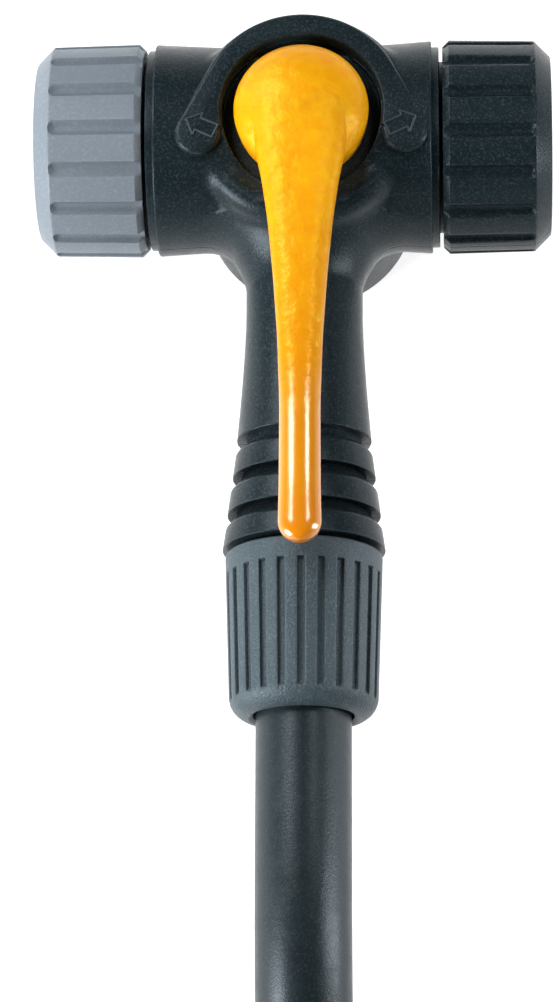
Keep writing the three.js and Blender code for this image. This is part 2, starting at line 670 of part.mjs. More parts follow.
// Round-bottomed finger grooves, counted from the front towards the hose side
function capGrooves(end) {
  const reach = CAP_RADIUS - CAP_DRAFT / 2 + CAP_GROOVE_CUTTER - CAP_GROOVE_DEPTH;
  return Array.from({ length: CAP_GROOVES }, (_, i) => {
    const angle = THREE.MathUtils.degToRad(end.grooveTurn + (360 * i) / CAP_GROOVES);
    const stop = end.capEnd - CAP_OUTER_CHAMFER + CAP_GROOVE_RUN;
    const groove = rod(end.capStart - 1, stop, CAP_GROOVE_CUTTER, end.axis, 10);
    return solid(groove.translate(0, -reach * Math.sin(angle), reach * Math.cos(angle)));
  });
}

// ---------------------------------------------------------------- hose joint
function hoseBarb() {
  const start = BARB_SEAT_START + SEAT_GAP;
  const seat = BARB_SEAT_RADIUS - SEAT_GAP;
  const seal = barbSeal();
  const tail = HOSE_BORE_RADIUS - 0.35;
  const pitch = BARB_TAIL_LENGTH / BARB_COUNT;
  const barbs = Array.from({ length: BARB_COUNT }, (_, i) => {
    const at = SPIGOT_END + SEAT_GAP + i * pitch;
    return [[at + 0.3, HOSE_BORE_RADIUS - 0.1], [at + pitch, tail]];
  }).flat();
  const stop = SPIGOT_END + SEAT_GAP + BARB_TAIL_LENGTH;
  return turned(
    [
      [start, BARB_BORE_RADIUS],
      [start, seat],
      [seal.along - O_RING_SECTION, seat],
      [seal.along - O_RING_SECTION, seal.floor],
      [seal.along + O_RING_SECTION, seal.floor],
      [seal.along + O_RING_SECTION, seat],
      [SPIGOT_END, seat],
      [SPIGOT_END, tail],
      ...barbs,
      [stop, BARB_BORE_RADIUS],
      [start, BARB_BORE_RADIUS],
    ],
    "-Y",
    SMALL_FACETS,
  );
}
function barbSeal() {
  const ring = BARB_SEAT_RADIUS - SEAT_GAP - O_RING_SECTION;
  return { along: BARB_SEAT_START + 3, floor: ring - O_RING_SECTION, ring };
}
function barbRing() {
  const { along, ring } = barbSeal();
  return oRing(along, ring, O_RING_SECTION - 0.06, "-Y");
}

// Split ring that the nut squeezes round the hose
function hoseCollet() {
  const inner = HOSE_RADIUS + HOSE_FIT;
  const profile = [
    [COLLET_START, inner],
    [COLLET_START, COLLET_RADIUS],
    [COLLET_START + COLLET_SHOULDER, COLLET_RADIUS],
    [COLLET_STOP, COLLET_RADIUS - COLLET_TAPER],
    [COLLET_STOP, inner],
    [COLLET_START, inner],
  ];
  const stock = solid(turned(profile, "-Y", INNER_FACETS));
  const slots = Array.from({ length: COLLET_SLOTS }, (_, i) => {
    const slot = box(COLLET_SLOT_WIDTH, COLLET_LENGTH, 10, 0, -COLLET_STOP, 5);
    return solid(slot.rotateY((2 * Math.PI * i) / COLLET_SLOTS + 0.4));
  });
  return cut(stock, ...slots);
}

function nutRadiusAt(distance) {
  return NUT_RADIUS - (NUT_DRAFT * (distance - NUT_START)) / (NUT_LENGTH - NUT_CORNER);
}
function hoseNut() {
  const cornerStart = NUT_END - NUT_CORNER;
  const low = nutRadiusAt(cornerStart);
  const corner = arcRows(cornerStart, low - NUT_CORNER, NUT_CORNER, 90, 12, 5);
  const mouth = HOSE_RADIUS + HOSE_FIT + 0.1;
  const wall = NUT_END - NUT_END_WALL;
  const bore = SPIGOT_RADIUS + TURNING_CLEARANCE * 2;
  const body = turned(
    [
      [NUT_START, bore],
      [NUT_START, NUT_RADIUS - NUT_TOP_ROUND],
      [NUT_START + NUT_TOP_ROUND, NUT_RADIUS],
      ...corner,
      [NUT_END, mouth + 0.5],
      [NUT_END - 0.3, mouth],
      [wall, mouth],
      [wall, bore - 0.5],
      [wall - 5, bore],
      [NUT_START, bore],
    ],
    "-Y",
  );
  return cut(solid(body), ...nutGrooves());
}
function nutGrooves() {
  const from = NUT_START + NUT_GROOVE_START;
  const to = NUT_END - NUT_GROOVE_END;
  const lean = Math.atan(NUT_DRAFT / (NUT_LENGTH - NUT_CORNER));
  const height = 3;
  const floor = nutRadiusAt((from + to) / 2) - NUT_GROOVE_DEPTH;
  return Array.from({ length: NUT_GROOVES }, (_, i) => {
    const cutter = box(NUT_GROOVE_WIDTH, to - from, height).rotateX(lean);
    cutter.translate(0, -(from + to) / 2, floor + height / 2);
    return solid(cutter.rotateY((2 * Math.PI * i) / NUT_GROOVES));
  });
}

// ---------------------------------------------------------------- hose
function hoseRun() {
  const route = new THREE.CatmullRomCurve3(HOSE_ROUTE.map((point) => new THREE.Vector3(...point)));
  const ring = (radius) =>
    Array.from({ length: HOSE_SIDES }, (_, i) => {
      const angle = (2 * Math.PI * (i + 0.5)) / HOSE_SIDES;
      return new THREE.Vector2(radius * Math.cos(angle), radius * Math.sin(angle));
    });
  const section = new THREE.Shape(ring(HOSE_RADIUS));
  section.holes.push(new THREE.Path(ring(HOSE_BORE_RADIUS)));
  return new THREE.ExtrudeGeometry(section, { extrudePath: route, steps: HOSE_STEPS });
}

// Centre line of the stored coil, from the end of the free run
function coilPoint(turns) {
  const rise = ([from, to]) => THREE.MathUtils.smootherstep(turns, from, to);
  const layers = COIL_CLIMBS.reduce((sum, climb) => sum + rise(climb), 0);
  const angle = Math.PI + 2 * Math.PI * turns;
  return new THREE.Vector3(
    COIL_RADIUS * (1 + Math.cos(angle)),
    COIL_START_Y + COIL_RADIUS * Math.sin(angle),
    HOSE_RADIUS + COIL_LAYER_STEP * layers + COIL_LIFT_HEIGHT * rise(COIL_LIFT),
  );
}
function coilLine() {
  const steps = Math.round(COIL_STEPS_PER_TURN * COIL_END);
  const turns = Array.from({ length: steps + 1 }, (_, i) => coilPoint((COIL_END * i) / steps));
  const start = new THREE.Vector3(0, HOSE_ROUTE.at(-1)[1] - FACE_GAP, HOSE_RADIUS);
  const end = turns.at(-1).clone().add(tailDirection().multiplyScalar(2 * HOSE_RADIUS));
  return [start, ...turns, end];
}
function tailDirection() {
  const direction = coilPoint(COIL_END).sub(coilPoint(COIL_END - 0.01));
  return direction.setZ(0).normalize();
}
// One unbroken wound tube
function hoseCoil() {
  const line = coilLine();
  const up = new THREE.Vector3(0, 0, 1);
  const rings = line.map((point, i) => {
    const ahead = line[Math.min(i + 1, line.length - 1)].clone().sub(line[Math.max(i - 1, 0)]).normalize();
    if (i === line.length - 1) ahead.copy(tailDirection());
    const side = new THREE.Vector3().crossVectors(ahead, up).normalize();
    const rise = new THREE.Vector3().crossVectors(side, ahead);
    return Array.from({ length: COIL_SIDES }, (_, k) => {
      const angle = (2 * Math.PI * (k + 0.5)) / COIL_SIDES;
      const offset = side.clone().multiplyScalar(HOSE_RADIUS * Math.cos(angle));
      return point.clone().add(offset).addScaledVector(rise, HOSE_RADIUS * Math.sin(angle));
    });
  });
  return loft(rings);
}
function leastCoilGap() {
  const steps = 720;
  const points = Array.from({ length: steps + 1 }, (_, i) => coilPoint((COIL_END * i) / steps));
  const apart = Math.round((steps / COIL_END) * 0.5);
  let least = Infinity;
  for (let i = 0; i < points.length; i += 1) {
    for (const other of points.slice(i + apart)) least = Math.min(least, points[i].distanceTo(other));
  }
  return least - 2 * HOSE_RADIUS;
}
function lineLength(points) {
  return points.slice(1).reduce((sum, point, i) => sum + point.distanceTo(points[i]), 0);
}

// ---------------------------------------------------------------- pump-end fitting, along +X from the coil
function tail() {
  return tube(FACE_GAP, FACE_GAP + TAIL_LENGTH, HOSE_RADIUS, HOSE_BORE_RADIUS, "+X", SMALL_FACETS);
}
function ferrule() {
  const start = FACE_GAP + TAIL_LENGTH - FERRULE_LENGTH;
  const inner = HOSE_RADIUS + HOSE_FIT;
  const crimp = FERRULE_RADIUS - 0.35;
  const rows = [[start, inner], [start, crimp]];
  for (let i = 0; i < 3; i += 1) {
    const at = start + 1.5 + i * 3.4;
    rows.push([at, FERRULE_RADIUS], [at + 1.6, FERRULE_RADIUS], [at + 2.0, crimp], [at + 2.8, crimp]);
  }
  rows.push([start + FERRULE_LENGTH, crimp], [start + FERRULE_LENGTH, inner], [start, inner]);
  return turned(rows, "+X", SMALL_FACETS);
}
function pumpStud() {
  const face = FACE_GAP + TAIL_LENGTH + SEAT_GAP;
  const hexEnd = face + HEX_LENGTH;
  const corner = HEX_ACROSS_FLATS / Math.sqrt(3);
  const hex = new THREE.CylinderGeometry(corner, corner, HEX_LENGTH, 6).rotateZ(Math.PI / 2);
  const barb = rod(face - 10, face + 0.5, HOSE_BORE_RADIUS - 0.15, "+X", SMALL_FACETS);
  const stud = rod(hexEnd - 0.5, hexEnd + STUD_LENGTH, STUD_RADIUS, "+X", SMALL_FACETS);
  const bore = rod(face - 11, hexEnd + STUD_LENGTH + 1, BARB_BORE_RADIUS, "+X", SMALL_FACETS);
  const stock = joined(solid(hex.translate(face + HEX_LENGTH / 2, 0, 0)), solid(barb), solid(stud));
  return cut(stock, solid(bore));
}
function studWasher() {
  const start = FACE_GAP + TAIL_LENGTH + HEX_LENGTH + 2 * SEAT_GAP;
  const inner = STUD_RADIUS + SEAT_GAP;
  return tube(start, start + STUD_WASHER_THICKNESS, STUD_WASHER_RADIUS, inner, "+X", SMALL_FACETS);
}

// ---------------------------------------------------------------- assembly
function piece(name, form, material) {
  const geometry = form.isBufferGeometry ? form : shape(form);
  const mesh = new THREE.Mesh(geometry, material);
  mesh.name = name;
  return mesh;
}

const head = new THREE.Group();
head.position.z = AXIS_HEIGHT;
head.add(
  piece("head_body", headBody(), BLACK_NYLON),
  piece("direction_plate", directionPlate(), BLACK_NYLON),
  piece("rear_cover", rearCover(), BLACK_NYLON),
  piece("lever", lever(), LEVER_YELLOW),
  piece("cam_shaft", camShaft(), WHITE_ACETAL),
  piece("upper_shaft_o_ring", sealRing(upperSeal()), BLACK_RUBBER),
  piece("lower_shaft_o_ring", sealRing(lowerSeal()), BLACK_RUBBER),
  piece("pivot_washer", pivotWasher(), STEEL),
  piece("pivot_screw", pivotScrew(), STEEL),
  piece("shuttle_yoke", shuttleYoke(), WHITE_ACETAL),
  piece("hose_barb", hoseBarb(), BRASS),
  piece("barb_o_ring", barbRing(), BLACK_RUBBER),
  piece("hose_collet", hoseCollet(), WHITE_ACETAL),
  piece("hose_nut", hoseNut(), BLACK_NYLON),
);
for (const [name, end] of Object.entries(ENDS)) {
  head.add(
    piece(`${name}_cap`, cap(end), plastic(end.capColor)),
    piece(`${name}_washer`, washer(end), WHITE_ACETAL),
    piece(`${name}_gasket`, gasket(end), RED_OXIDE_RUBBER),
    piece(`${name}_plunger`, plunger(end), WHITE_ACETAL),
    piece(`${name}_plunger_o_ring`, plungerRing(end), BLACK_RUBBER),
  );
}
head.add(piece("valve_pin", valvePin(ENDS.black), BRASS));

const coil = coilLine();
const fitting = new THREE.Group();
fitting.position.copy(coil.at(-1));
fitting.rotation.z = Math.atan2(tailDirection().y, tailDirection().x);
fitting.add(
  piece("hose_tail", tail(), HOSE_RUBBER),
  piece("pump_end_ferrule", ferrule(), STEEL),
  piece("pump_end_stud", pumpStud(), BRASS),
  piece("pump_end_washer", studWasher(), BLACK_RUBBER),
);

const group = new THREE.Group();
group.add(head, fitting);
group.add(piece("hose_run", hoseRun(), HOSE_RUBBER), piece("hose_coil", hoseCoil(), HOSE_RUBBER));

const run = new THREE.CatmullRomCurve3(HOSE_ROUTE.map((point) => new THREE.Vector3(...point)));
const hoseLength = run.getLength() + lineLength(coil) + TAIL_LENGTH;
console.log(`hose ${hoseLength.toFixed(0)} mm long, coil turns ${leastCoilGap().toFixed(2)} mm apart`);

export default group;
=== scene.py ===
import json
import math

import bpy
import numpy as np
from mathutils import Matrix, Vector


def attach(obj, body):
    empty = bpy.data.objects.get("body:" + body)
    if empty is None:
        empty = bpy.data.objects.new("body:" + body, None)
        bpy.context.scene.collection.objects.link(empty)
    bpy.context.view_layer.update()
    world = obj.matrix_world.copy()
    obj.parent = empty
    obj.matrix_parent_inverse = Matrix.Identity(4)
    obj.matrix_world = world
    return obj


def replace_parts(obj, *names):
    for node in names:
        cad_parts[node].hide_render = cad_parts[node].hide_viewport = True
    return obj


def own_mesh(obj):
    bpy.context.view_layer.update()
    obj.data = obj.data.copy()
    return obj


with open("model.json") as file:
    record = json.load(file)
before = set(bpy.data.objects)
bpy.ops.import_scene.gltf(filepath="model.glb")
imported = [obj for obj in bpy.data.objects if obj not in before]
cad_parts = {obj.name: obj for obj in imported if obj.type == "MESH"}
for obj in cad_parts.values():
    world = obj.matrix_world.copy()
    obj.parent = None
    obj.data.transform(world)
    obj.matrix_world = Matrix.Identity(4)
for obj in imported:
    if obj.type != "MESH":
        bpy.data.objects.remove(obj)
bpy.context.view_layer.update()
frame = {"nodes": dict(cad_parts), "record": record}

# Sizes in millimetres, as in the CAD source. Local heights are above the barrel's axis. The s of
# a turned piece is its distance from the hub's axis, along the barrel or the stem.
AXIS_HEIGHT = 21.5
COLLAR_WIDTH = 0.9  # beyond the lip of the barrel
CAP_GAP = 0.45  # between the collar and the cap
CAP_LENGTH, CAP_RADIUS, CAP_WALL = 13.3, 13.2, 3.0
GROOVE_COUNT, GROOVE_RADIUS, GROOVE_DEPTH = 16, 0.95, 0.62
WASHER_THICKNESS, GASKET_LENGTH = 1.1, 7.2
CLEARANCE = 0.1  # between the cap, its washer and the gasket
THREAD_PITCH = 1.5
ENDS = {  # lip of the barrel, radii of the cap's mouth and the gasket's bore, turn of the grooves
    "grey": dict(axis="-X", way=-1, lip=18.2, mouth=3.4, bore=3.2, turn=8.9),
    "black": dict(axis="+X", way=1, lip=15.8, mouth=4.5, bore=4.2, turn=13.2),
}
for end in ENDS.values():
    end["collar"] = end["lip"] + COLLAR_WIDTH
    end["cap_start"] = end["collar"] + CAP_GAP
    end["cap_end"] = end["cap_start"] + CAP_LENGTH
    end["washer_end"] = end["cap_end"] - CAP_WALL - CLEARANCE
    end["washer_start"] = end["washer_end"] - WASHER_THICKNESS
    end["gasket_end"] = end["washer_start"] - CLEARANCE
STEM_CUT = 38.5  # where the turned rings take over from the housing's field
STEM_END = 52.3
NUT_START, NUT_END, NUT_RADIUS = 52.8, 73.0, 9.5
FLUTE_COUNT, FLUTE_DEPTH = 24, 0.5
HOSE_RADIUS = 5.75
HOSE_ROUTE = [  # from inside the nut down to the start of the coil
    (0, -61.2, 21.5), (0, -74, 21.5), (0, -82, 21.5), (0, -90, 21.45), (0, -99, 20.72),
    (0, -108, 18.53), (0, -117, 15.38), (0, -126, 11.87), (0, -135, 8.72), (0, -144, 6.53),
    (0, -153, 5.8), (0, -159.7, 5.75),
]
COIL_RADIUS, COIL_X, COIL_Y = 52, 52, -171.5
COIL_TURNS = 2.52
LAYER_RISE, TIP_RISE = 11.95, 1.8
FACE_GAP, TAIL_LENGTH = 0.3, 15.0  # the tail of the hose, and the gap between it and the coil


def linked(name, data):
    """A new object of this data, in the scene."""
    item = bpy.data.objects.new(name, data)
    bpy.context.scene.collection.objects.link(item)
    return item


# ---------------------------------------------------------------- camera
def aim_camera():
    """Camera whose picture has the barrel's middle at the pixel where the photograph has it."""
    width, height = 555, 1002
    barrel_x, barrel_y = 303.5, 149.2
    azimuth, tilt, roll = (math.radians(degrees) for degrees in (2.6, 17.3, 0.25))
    focal, distance = 4044.0, 503.0  # pixels and millimetres
    back = Vector(
        (math.sin(azimuth) * math.cos(tilt), -math.sin(tilt), math.cos(azimuth) * math.cos(tilt))
    )
    right = Vector((math.cos(azimuth), 0, -math.sin(azimuth)))
    up = back.cross(right)
    ray = right * (barrel_x - width / 2) / focal - up * (barrel_y - height / 2) / focal - back
    place = Vector((0, 0, AXIS_HEIGHT)) - ray * distance
    data = bpy.data.cameras.new("camera")
    data.sensor_width = 36.0
    data.lens = focal * data.sensor_width / height
    data.clip_start, data.clip_end = 0.02, 20
    camera = linked("camera", data)
    turn = Matrix((right, up, back)).transposed() @ Matrix.Rotation(roll, 3, "Z")
    camera.matrix_world = Matrix.Translation(place / 1000) @ turn.to_4x4()
    bpy.context.scene.camera = camera


aim_camera()


# ---------------------------------------------------------------- hose line
def smootherstep(x, low, high):
    t = np.clip((x - low) / (high - low), 0, 1)
    return t * t * t * (t * (6 * t - 15) + 10)


def coil_point(turns):
    """Middle of the hose after some turns of the coil, which climbs by two layers and a tip."""
    layers = smootherstep(turns, 0.6, 1.0) + smootherstep(turns, 1.6, 2.0)
    height = HOSE_RADIUS + LAYER_RISE * layers + TIP_RISE * smootherstep(turns, 2.3, COIL_TURNS)
    angle = math.pi + 2 * math.pi * turns
    x, y = COIL_X + COIL_RADIUS * math.cos(angle), COIL_Y + COIL_RADIUS * math.sin(angle)
    return np.array((x, y, height))


def spline_through(points, spacing):
    """Natural cubic spline by chord length, sampled about every spacing."""
    points = np.array(points, float)
    chord = np.concatenate([[0], np.cumsum(np.linalg.norm(np.diff(points, axis=0), axis=1))])
    step = np.diff(chord)
    count = len(points)
    system, right = np.eye(count), np.zeros((count, 3))
    for i in range(1, count - 1):
        system[i, i - 1 : i + 2] = step[i - 1], 2 * (step[i - 1] + step[i]), step[i]
        right[i] = 6 * (
            (points[i + 1] - points[i]) / step[i] - (points[i] - points[i - 1]) / step[i - 1]
        )
    bend = np.linalg.solve(system, right)
    at = np.linspace(0, chord[-1], int(chord[-1] / spacing) + 1)
    k = np.clip(np.searchsorted(chord, at, side="right") - 1, 0, count - 2)
    h, a, b = step[k][:, None], (chord[k + 1] - at)[:, None], (at - chord[k])[:, None]
    return (
        bend[k] * a**3 / (6 * h)
        + bend[k + 1] * b**3 / (6 * h)
        + (points[k] / h - bend[k] * h / 6) * a
        + (points[k + 1] / h - bend[k + 1] * h / 6) * b
    )


coil_tip = coil_point(COIL_TURNS)
tail_way = coil_tip - coil_point(COIL_TURNS - 0.01)
tail_way[2] = 0
tail_way /= np.linalg.norm(tail_way)
fitting_origin = coil_tip + tail_way * 2 * HOSE_RADIUS
hose_line = spline_through(
    HOSE_ROUTE
    + [coil_point(t) for t in np.linspace(0, COIL_TURNS, 61)]
    + [fitting_origin, fitting_origin + tail_way * (FACE_GAP + TAIL_LENGTH)],
    1.5,
)


# ---------------------------------------------------------------- making meshes
FRAMES = {  # ways along and across a turned piece, and the way from which its angles run
    "+X": ((1, 0, 0), (0, 1, 0), (0, 0, 1)),
    "-X": ((-1, 0, 0), (0, -1, 0), (0, 0, 1)),
    "-Y": ((0, -1, 0), (1, 0, 0), (0, 0, 1)),
    "+Z": ((0, 0, 1), (1, 0, 0), (0, 1, 0)),
}


def add_mesh(name, points, faces, body, slot, replaces=(), crease=32, place=None, painted_light_material=None):
    """A mesh piece in millimetres about the barrel's axis, or in the frame of place, smooth
    except at edges over crease. A material given last, when there is one, takes the place of the
    slot's; the nut's is a paler copy of the black nylon, which is painted light."""
    mesh = bpy.data.meshes.new(name)
    points = np.array(points, float)
    if place is None:
        points = points + np.array((0, 0, AXIS_HEIGHT))
    else:
        points = points @ place[:3, :3].T + place[:3, 3]
    mesh.from_pydata((points / 1000).tolist(), [], [list(f) for f in faces])
    mesh.validate()
    mesh.polygons.foreach_set("use_smooth", [True] * len(mesh.polygons))
    mesh.set_sharp_from_angle(angle=math.radians(crease))
    mesh.materials.append(MATERIALS[painted_light_material or slot])
    piece = linked(name, mesh)
    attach(piece, body)
    if replaces:
        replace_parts(piece, *replaces)
    return piece


def rounded(rows, radius=0.25, closed=False):
    """Profile rows (s, radius) with each corner rounded, as far as its two sides allow. A row may
    end with its own size of rounding."""
    steps, nearly_straight = 3, 1.45
    plain = [np.array(r[:2], float) for r in rows]
    count, out = len(rows), []
    for i, row in enumerate(rows):
        here = plain[i]
        size = row[2] if len(row) > 2 else radius
        if not closed and i in (0, count - 1) or size == 0:
            out.append(here)
            continue
        before, after = plain[i - 1] - here, plain[(i + 1) % count] - here
        length_before, length_after = np.linalg.norm(before), np.linalg.norm(after)
        before, after = before / length_before, after / length_after
        half = math.acos(np.clip(before @ after, -1, 1)) / 2
        if half > nearly_straight:
            out.append(here)
            continue
        reach = min(size / math.tan(half), 0.45 * length_before, 0.45 * length_after)
        a, b = here + before * reach, here + after * reach
        for k in range(steps + 1):
            t = k / steps
            out.append((1 - t) ** 2 * a + 2 * t * (1 - t) * here + t**2 * b)
    return [tuple(p) for p in out]


def lathe(rows, axis, columns, shape=None, closed=False):
    """Points and faces of a turned piece. shape(s, angles, radius) may change the radius."""
    along, across, up = (np.array(v, float) for v in FRAMES[axis])
    angles = np.arange(columns) * 2 * math.pi / columns
    points, rings = [], []
    for s, r in rows:
        if r < 1e-6:
            rings.append([len(points)])
            points.append(along * s)
            continue
        rings.append(list(range(len(points), len(points) + columns)))
        for a, radius in zip(angles, np.broadcast_to(shape(s, angles, r) if shape else r, columns)):
            points.append(along * s + (up * math.cos(a) + across * math.sin(a)) * radius)
    faces = []
    pairs = list(zip(rings, rings[1:])) + ([(rings[-1], rings[0])] if closed else [])
    for low, high in pairs:
        for i in range(columns):
            k = (i + 1) % columns
            if len(low) == 1:
                faces.append((low[0], high[k], high[i]))
            elif len(high) == 1:
                faces.append((low[i], low[k], high[0]))
            else:
                faces.append((low[i], low[k], high[k], high[i]))
    return outward(np.array(points), faces)


def stacked(levels, count):
    """Faces over equal rings of count points, one above the other, closed at both ends."""
    faces = []
    for k in range(levels - 1):
        low, high = k * count, (k + 1) * count
        for i in range(count):
            j = (i + 1) % count
            faces.append((low + i, low + j, high + j, high + i))
    last = (levels - 1) * count
    return faces + [tuple(reversed(range(count))), tuple(range(last, last + count))]


def outward(points, faces):
    """The same shape with its faces turned outwards."""
    volume = 0.0
    for f in faces:
        a = points[f[0]]
        for i in range(1, len(f) - 1):
            volume += a @ np.cross(points[f[i]], points[f[i + 1]])
    return points, faces if volume > 0 else [tuple(reversed(f)) for f in faces]


def merged(*parts):
    """Points and faces of several shapes as those of one."""
    points, faces = [], []
    for p, f in parts:
        faces += [tuple(i + sum(len(q) for q in points) for i in face) for face in f]
        points.append(np.array(p))
    return np.concatenate(points), faces


# ---------------------------------------------------------------- materials
class Nodes:
    """A node tree with short calls for adding nodes and joining them."""

    def __init__(self, tree):
        self.tree = tree

    def add(self, kind, **values):
        node = self.tree.nodes.new(kind)
        for key, value in values.items():
            if hasattr(node, key):
                setattr(node, key, value)
            else:
                node.inputs[key.replace("_", " ")].default_value = value
        return node

    def link(self, output, socket):
        self.tree.links.new(output, socket)

    def math(self, operation, *inputs):
        node = self.add("ShaderNodeMath", operation=operation)
        for socket, value in zip(node.inputs, inputs):
            if isinstance(value, (int, float)):
                socket.default_value = value
            else:
                self.link(value, socket)
        return node.outputs[0]

    def background_rays(self):
        """1 for rays that show the pale background, 0 for those that light the object."""
        rays = self.add("ShaderNodeLightPath").outputs
        seen = self.math("MAXIMUM", rays["Is Camera Ray"], rays["Is Glossy Ray"])
        return self.math("MAXIMUM", seen, rays["Is Transmission Ray"])


class Surface(Nodes):
    """The nodes of a new material around its Principled shader."""

    def __init__(self, name):
        self.material = bpy.data.materials.new(name)
        self.material.use_nodes = True
        super().__init__(self.material.node_tree)
        self.shader = self.tree.nodes["Principled BSDF"]
        self.place = self.add("ShaderNodeTexCoord").outputs["Object"]

    def set(self, **values):
        for key, value in values.items():
            self.shader.inputs[key.replace("_", " ")].default_value = value

    def feed(self, name, output):
        self.link(output, self.shader.inputs[name])

    def parts(self):
        """X, Y and Z of the place on the object, in metres."""
        split = self.add("ShaderNodeSeparateXYZ")
        self.link(self.place, split.inputs[0])
        return split.outputs

    def noise(self, scale, detail, roughness):
        node = self.add("ShaderNodeTexNoise", Scale=scale, Detail=detail, Roughness=roughness)
        self.link(self.place, node.inputs["Vector"])
        return node.outputs["Fac"]

    def ramp(self, value, stops):
        node = self.add("ShaderNodeValToRGB")
        elements = node.color_ramp.elements
        while len(elements) < len(stops):
            elements.new(0.5)
        for element, (at, color) in zip(elements, stops):
            element.position = at
            element.color = (*color, 1) if hasattr(color, "__len__") else (color,) * 3 + (1,)
        self.link(value, node.inputs["Fac"])
        return node.outputs["Color"]

    def mix(self, factor, a, b):
        """Colour a where factor is 0 and b where it is 1."""
        node = self.add("ShaderNodeMix", data_type="RGBA")
        for name, value in (("Factor", factor), ("A", a), ("B", b)):
            kind = 0 if name == "Factor" else 2  # of the sockets of one name, the colour's is third
            socket = [s for s in node.inputs if s.name == name][kind]
            if isinstance(value, tuple):
                socket.default_value = (*value, 1)
            else:
                self.link(value, socket)
        return node.outputs[2]

    def bump(self, height, distance, strength, normal=None):
        node = self.add("ShaderNodeBump", Strength=strength, Distance=distance)
        self.link(height, node.inputs["Height"])
        if normal:
            self.link(normal, node.inputs["Normal"])
        return node.outputs["Normal"]

    def occlusion(self, distance, inside=False):
        """1 where the surface is open within distance, or the inside of it, less where it isn't."""
        node = self.add("ShaderNodeAmbientOcclusion", Distance=distance, samples=6)
        node.only_local, node.inside = True, inside
        return node.outputs["AO"]


def moulded(
    name, dark, light, roughness, grain, depth, speck, tint=(1.0, 1.0, 1.0), seam=False, shine=0.5,
    edge=None, hollow_shade=0.8,
):
    """Moulded plastic or rubber: spark-eroded grain of this scale and depth with pale specks,
    slight flow variation between dark and light, painted highlights on the edges and painted
    shade in the hollows."""
    n = Surface(name)
    fine, broad = n.noise(grain, 2.0, 0.6), n.noise(110.0, 4.0, 0.55)
    color = n.ramp(broad, [(0.3, dark), (0.7, light)])
    color = n.mix(n.ramp(fine, [(0.5, 0.0), (0.72, 1.0)]), color, speck)
    height = fine
    if seam:  # the mould's parting line, level with the barrel's axis
        off = n.math("ABSOLUTE", n.math("SUBTRACT", n.parts()["Z"], AXIS_HEIGHT / 1000))
        line = n.ramp(n.math("DIVIDE", off, 0.0003), [(0.25, 1.0), (0.6, 0.0)])
        color = n.mix(line, color, tuple(0.3 * c for c in dark))
        height = n.math("SUBTRACT", fine, n.math("MULTIPLY", line, 2.5))
    hollow, ridge = n.occlusion(0.002), n.occlusion(0.0003, inside=True)
    # Painted highlight: convex edges are mixed towards the edge colour, or the speck colour.
    color = n.mix(n.ramp(ridge, [(0.55, 0.6), (0.85, 0.0)]), color, edge or speck)
    # Painted shade: hollows are darkened towards a quarter of the dark colour.
    painted_shade = n.ramp(hollow, [(0.5, hollow_shade), (0.95, 0.0)])
    color = n.mix(painted_shade, color, tuple(0.25 * c for c in dark))
    rough = n.ramp(n.noise(420.0, 3.0, 0.6), [(0.25, roughness - 0.06), (0.75, roughness + 0.06)])
    n.feed("Base Color", color)
    # Painted shade as well: hollows reflect less.
    n.feed("Specular IOR Level", n.ramp(hollow, [(0.5, (1 - hollow_shade) * shine), (0.92, shine)]))
    n.feed("Roughness", rough)
    n.feed("Normal", n.bump(height, depth, 0.8))
    n.set(Specular_Tint=(*tint, 1.0))
    return n.material


def polished(name, dark, light, roughness):
    """Bright metal with a slightly uneven polish and small stains."""
    n = Surface(name)
    uneven, stain = n.noise(900.0, 3.0, 0.6), n.noise(260.0, 4.0, 0.6)
    n.feed("Base Color", n.ramp(stain, [(0.35, dark), (0.6, light)]))
    n.feed("Roughness", n.ramp(uneven, [(0.3, roughness - 0.08), (0.7, roughness + 0.1)]))
    n.feed("Normal", n.bump(uneven, 0.00003, 0.4))
    n.set(Metallic=1.0)
    return n.material


def lever_plastic():
    """Satin with fine wrinkles at the hub, and smooth and glossy towards the tip; the colour
    turns darker and more orange down the arm, as painted shade for the weaker light there.
    """
    n = Surface("lever_nylon")
    flow, wrinkle = n.noise(170.0, 4.0, 0.65), n.noise(620.0, 2.0, 0.5)
    fine = n.noise(1500.0, 3.0, 0.6)
    along = n.math("MULTIPLY", n.parts()["Y"], -1 / 0.055)  # 0 at the hub, about 1 at the tip
    color = n.ramp(flow, [(0.25, (0.92, 0.335, 0.001)), (0.75, (0.97, 0.425, 0.0015))])
    color = n.mix(n.ramp(wrinkle, [(0.42, 0.0), (0.68, 0.4)]), color, (1.0, 0.56, 0.002))
    # Painted shade: darker and more orange from the hub down the arm, and again at the tip.
    color = n.mix(n.ramp(along, [(0.2, 0.0), (0.62, 0.75)]), color, (0.80, 0.265, 0.003))
    color = n.mix(n.ramp(along, [(0.86, 0.0), (0.97, 0.8)]), color, (0.82, 0.25, 0.002))
    calm = n.ramp(along, [(0.55, 1.0), (0.8, 0.1)])
    normal = n.bump(n.math("MULTIPLY", wrinkle, calm), 0.00026, 0.8)
    normal = n.bump(n.math("MULTIPLY", fine, calm), 0.00005, 0.4, normal)
    tint = n.mix(n.ramp(along, [(0.6, 0.0), (0.75, 1.0)]), (1.0, 0.72, 0.12), (1.0, 0.95, 0.75))
    n.feed("Base Color", color)
    n.feed("Roughness", n.ramp(along, [(0.1, 0.42), (0.58, 0.33), (0.74, 0.18)]))
    n.feed("Normal", normal)
    n.feed("Specular Tint", tint)
    n.feed("Coat Weight", n.ramp(along, [(0.6, 0.0), (0.72, 1.0)]))
    n.set(
        Specular_IOR_Level=1.0, Coat_Roughness=0.14, Subsurface_Weight=0.08, Subsurface_Scale=0.003,
        Subsurface_Radius=(1.0, 0.35, 0.05),
    )
    return n.material


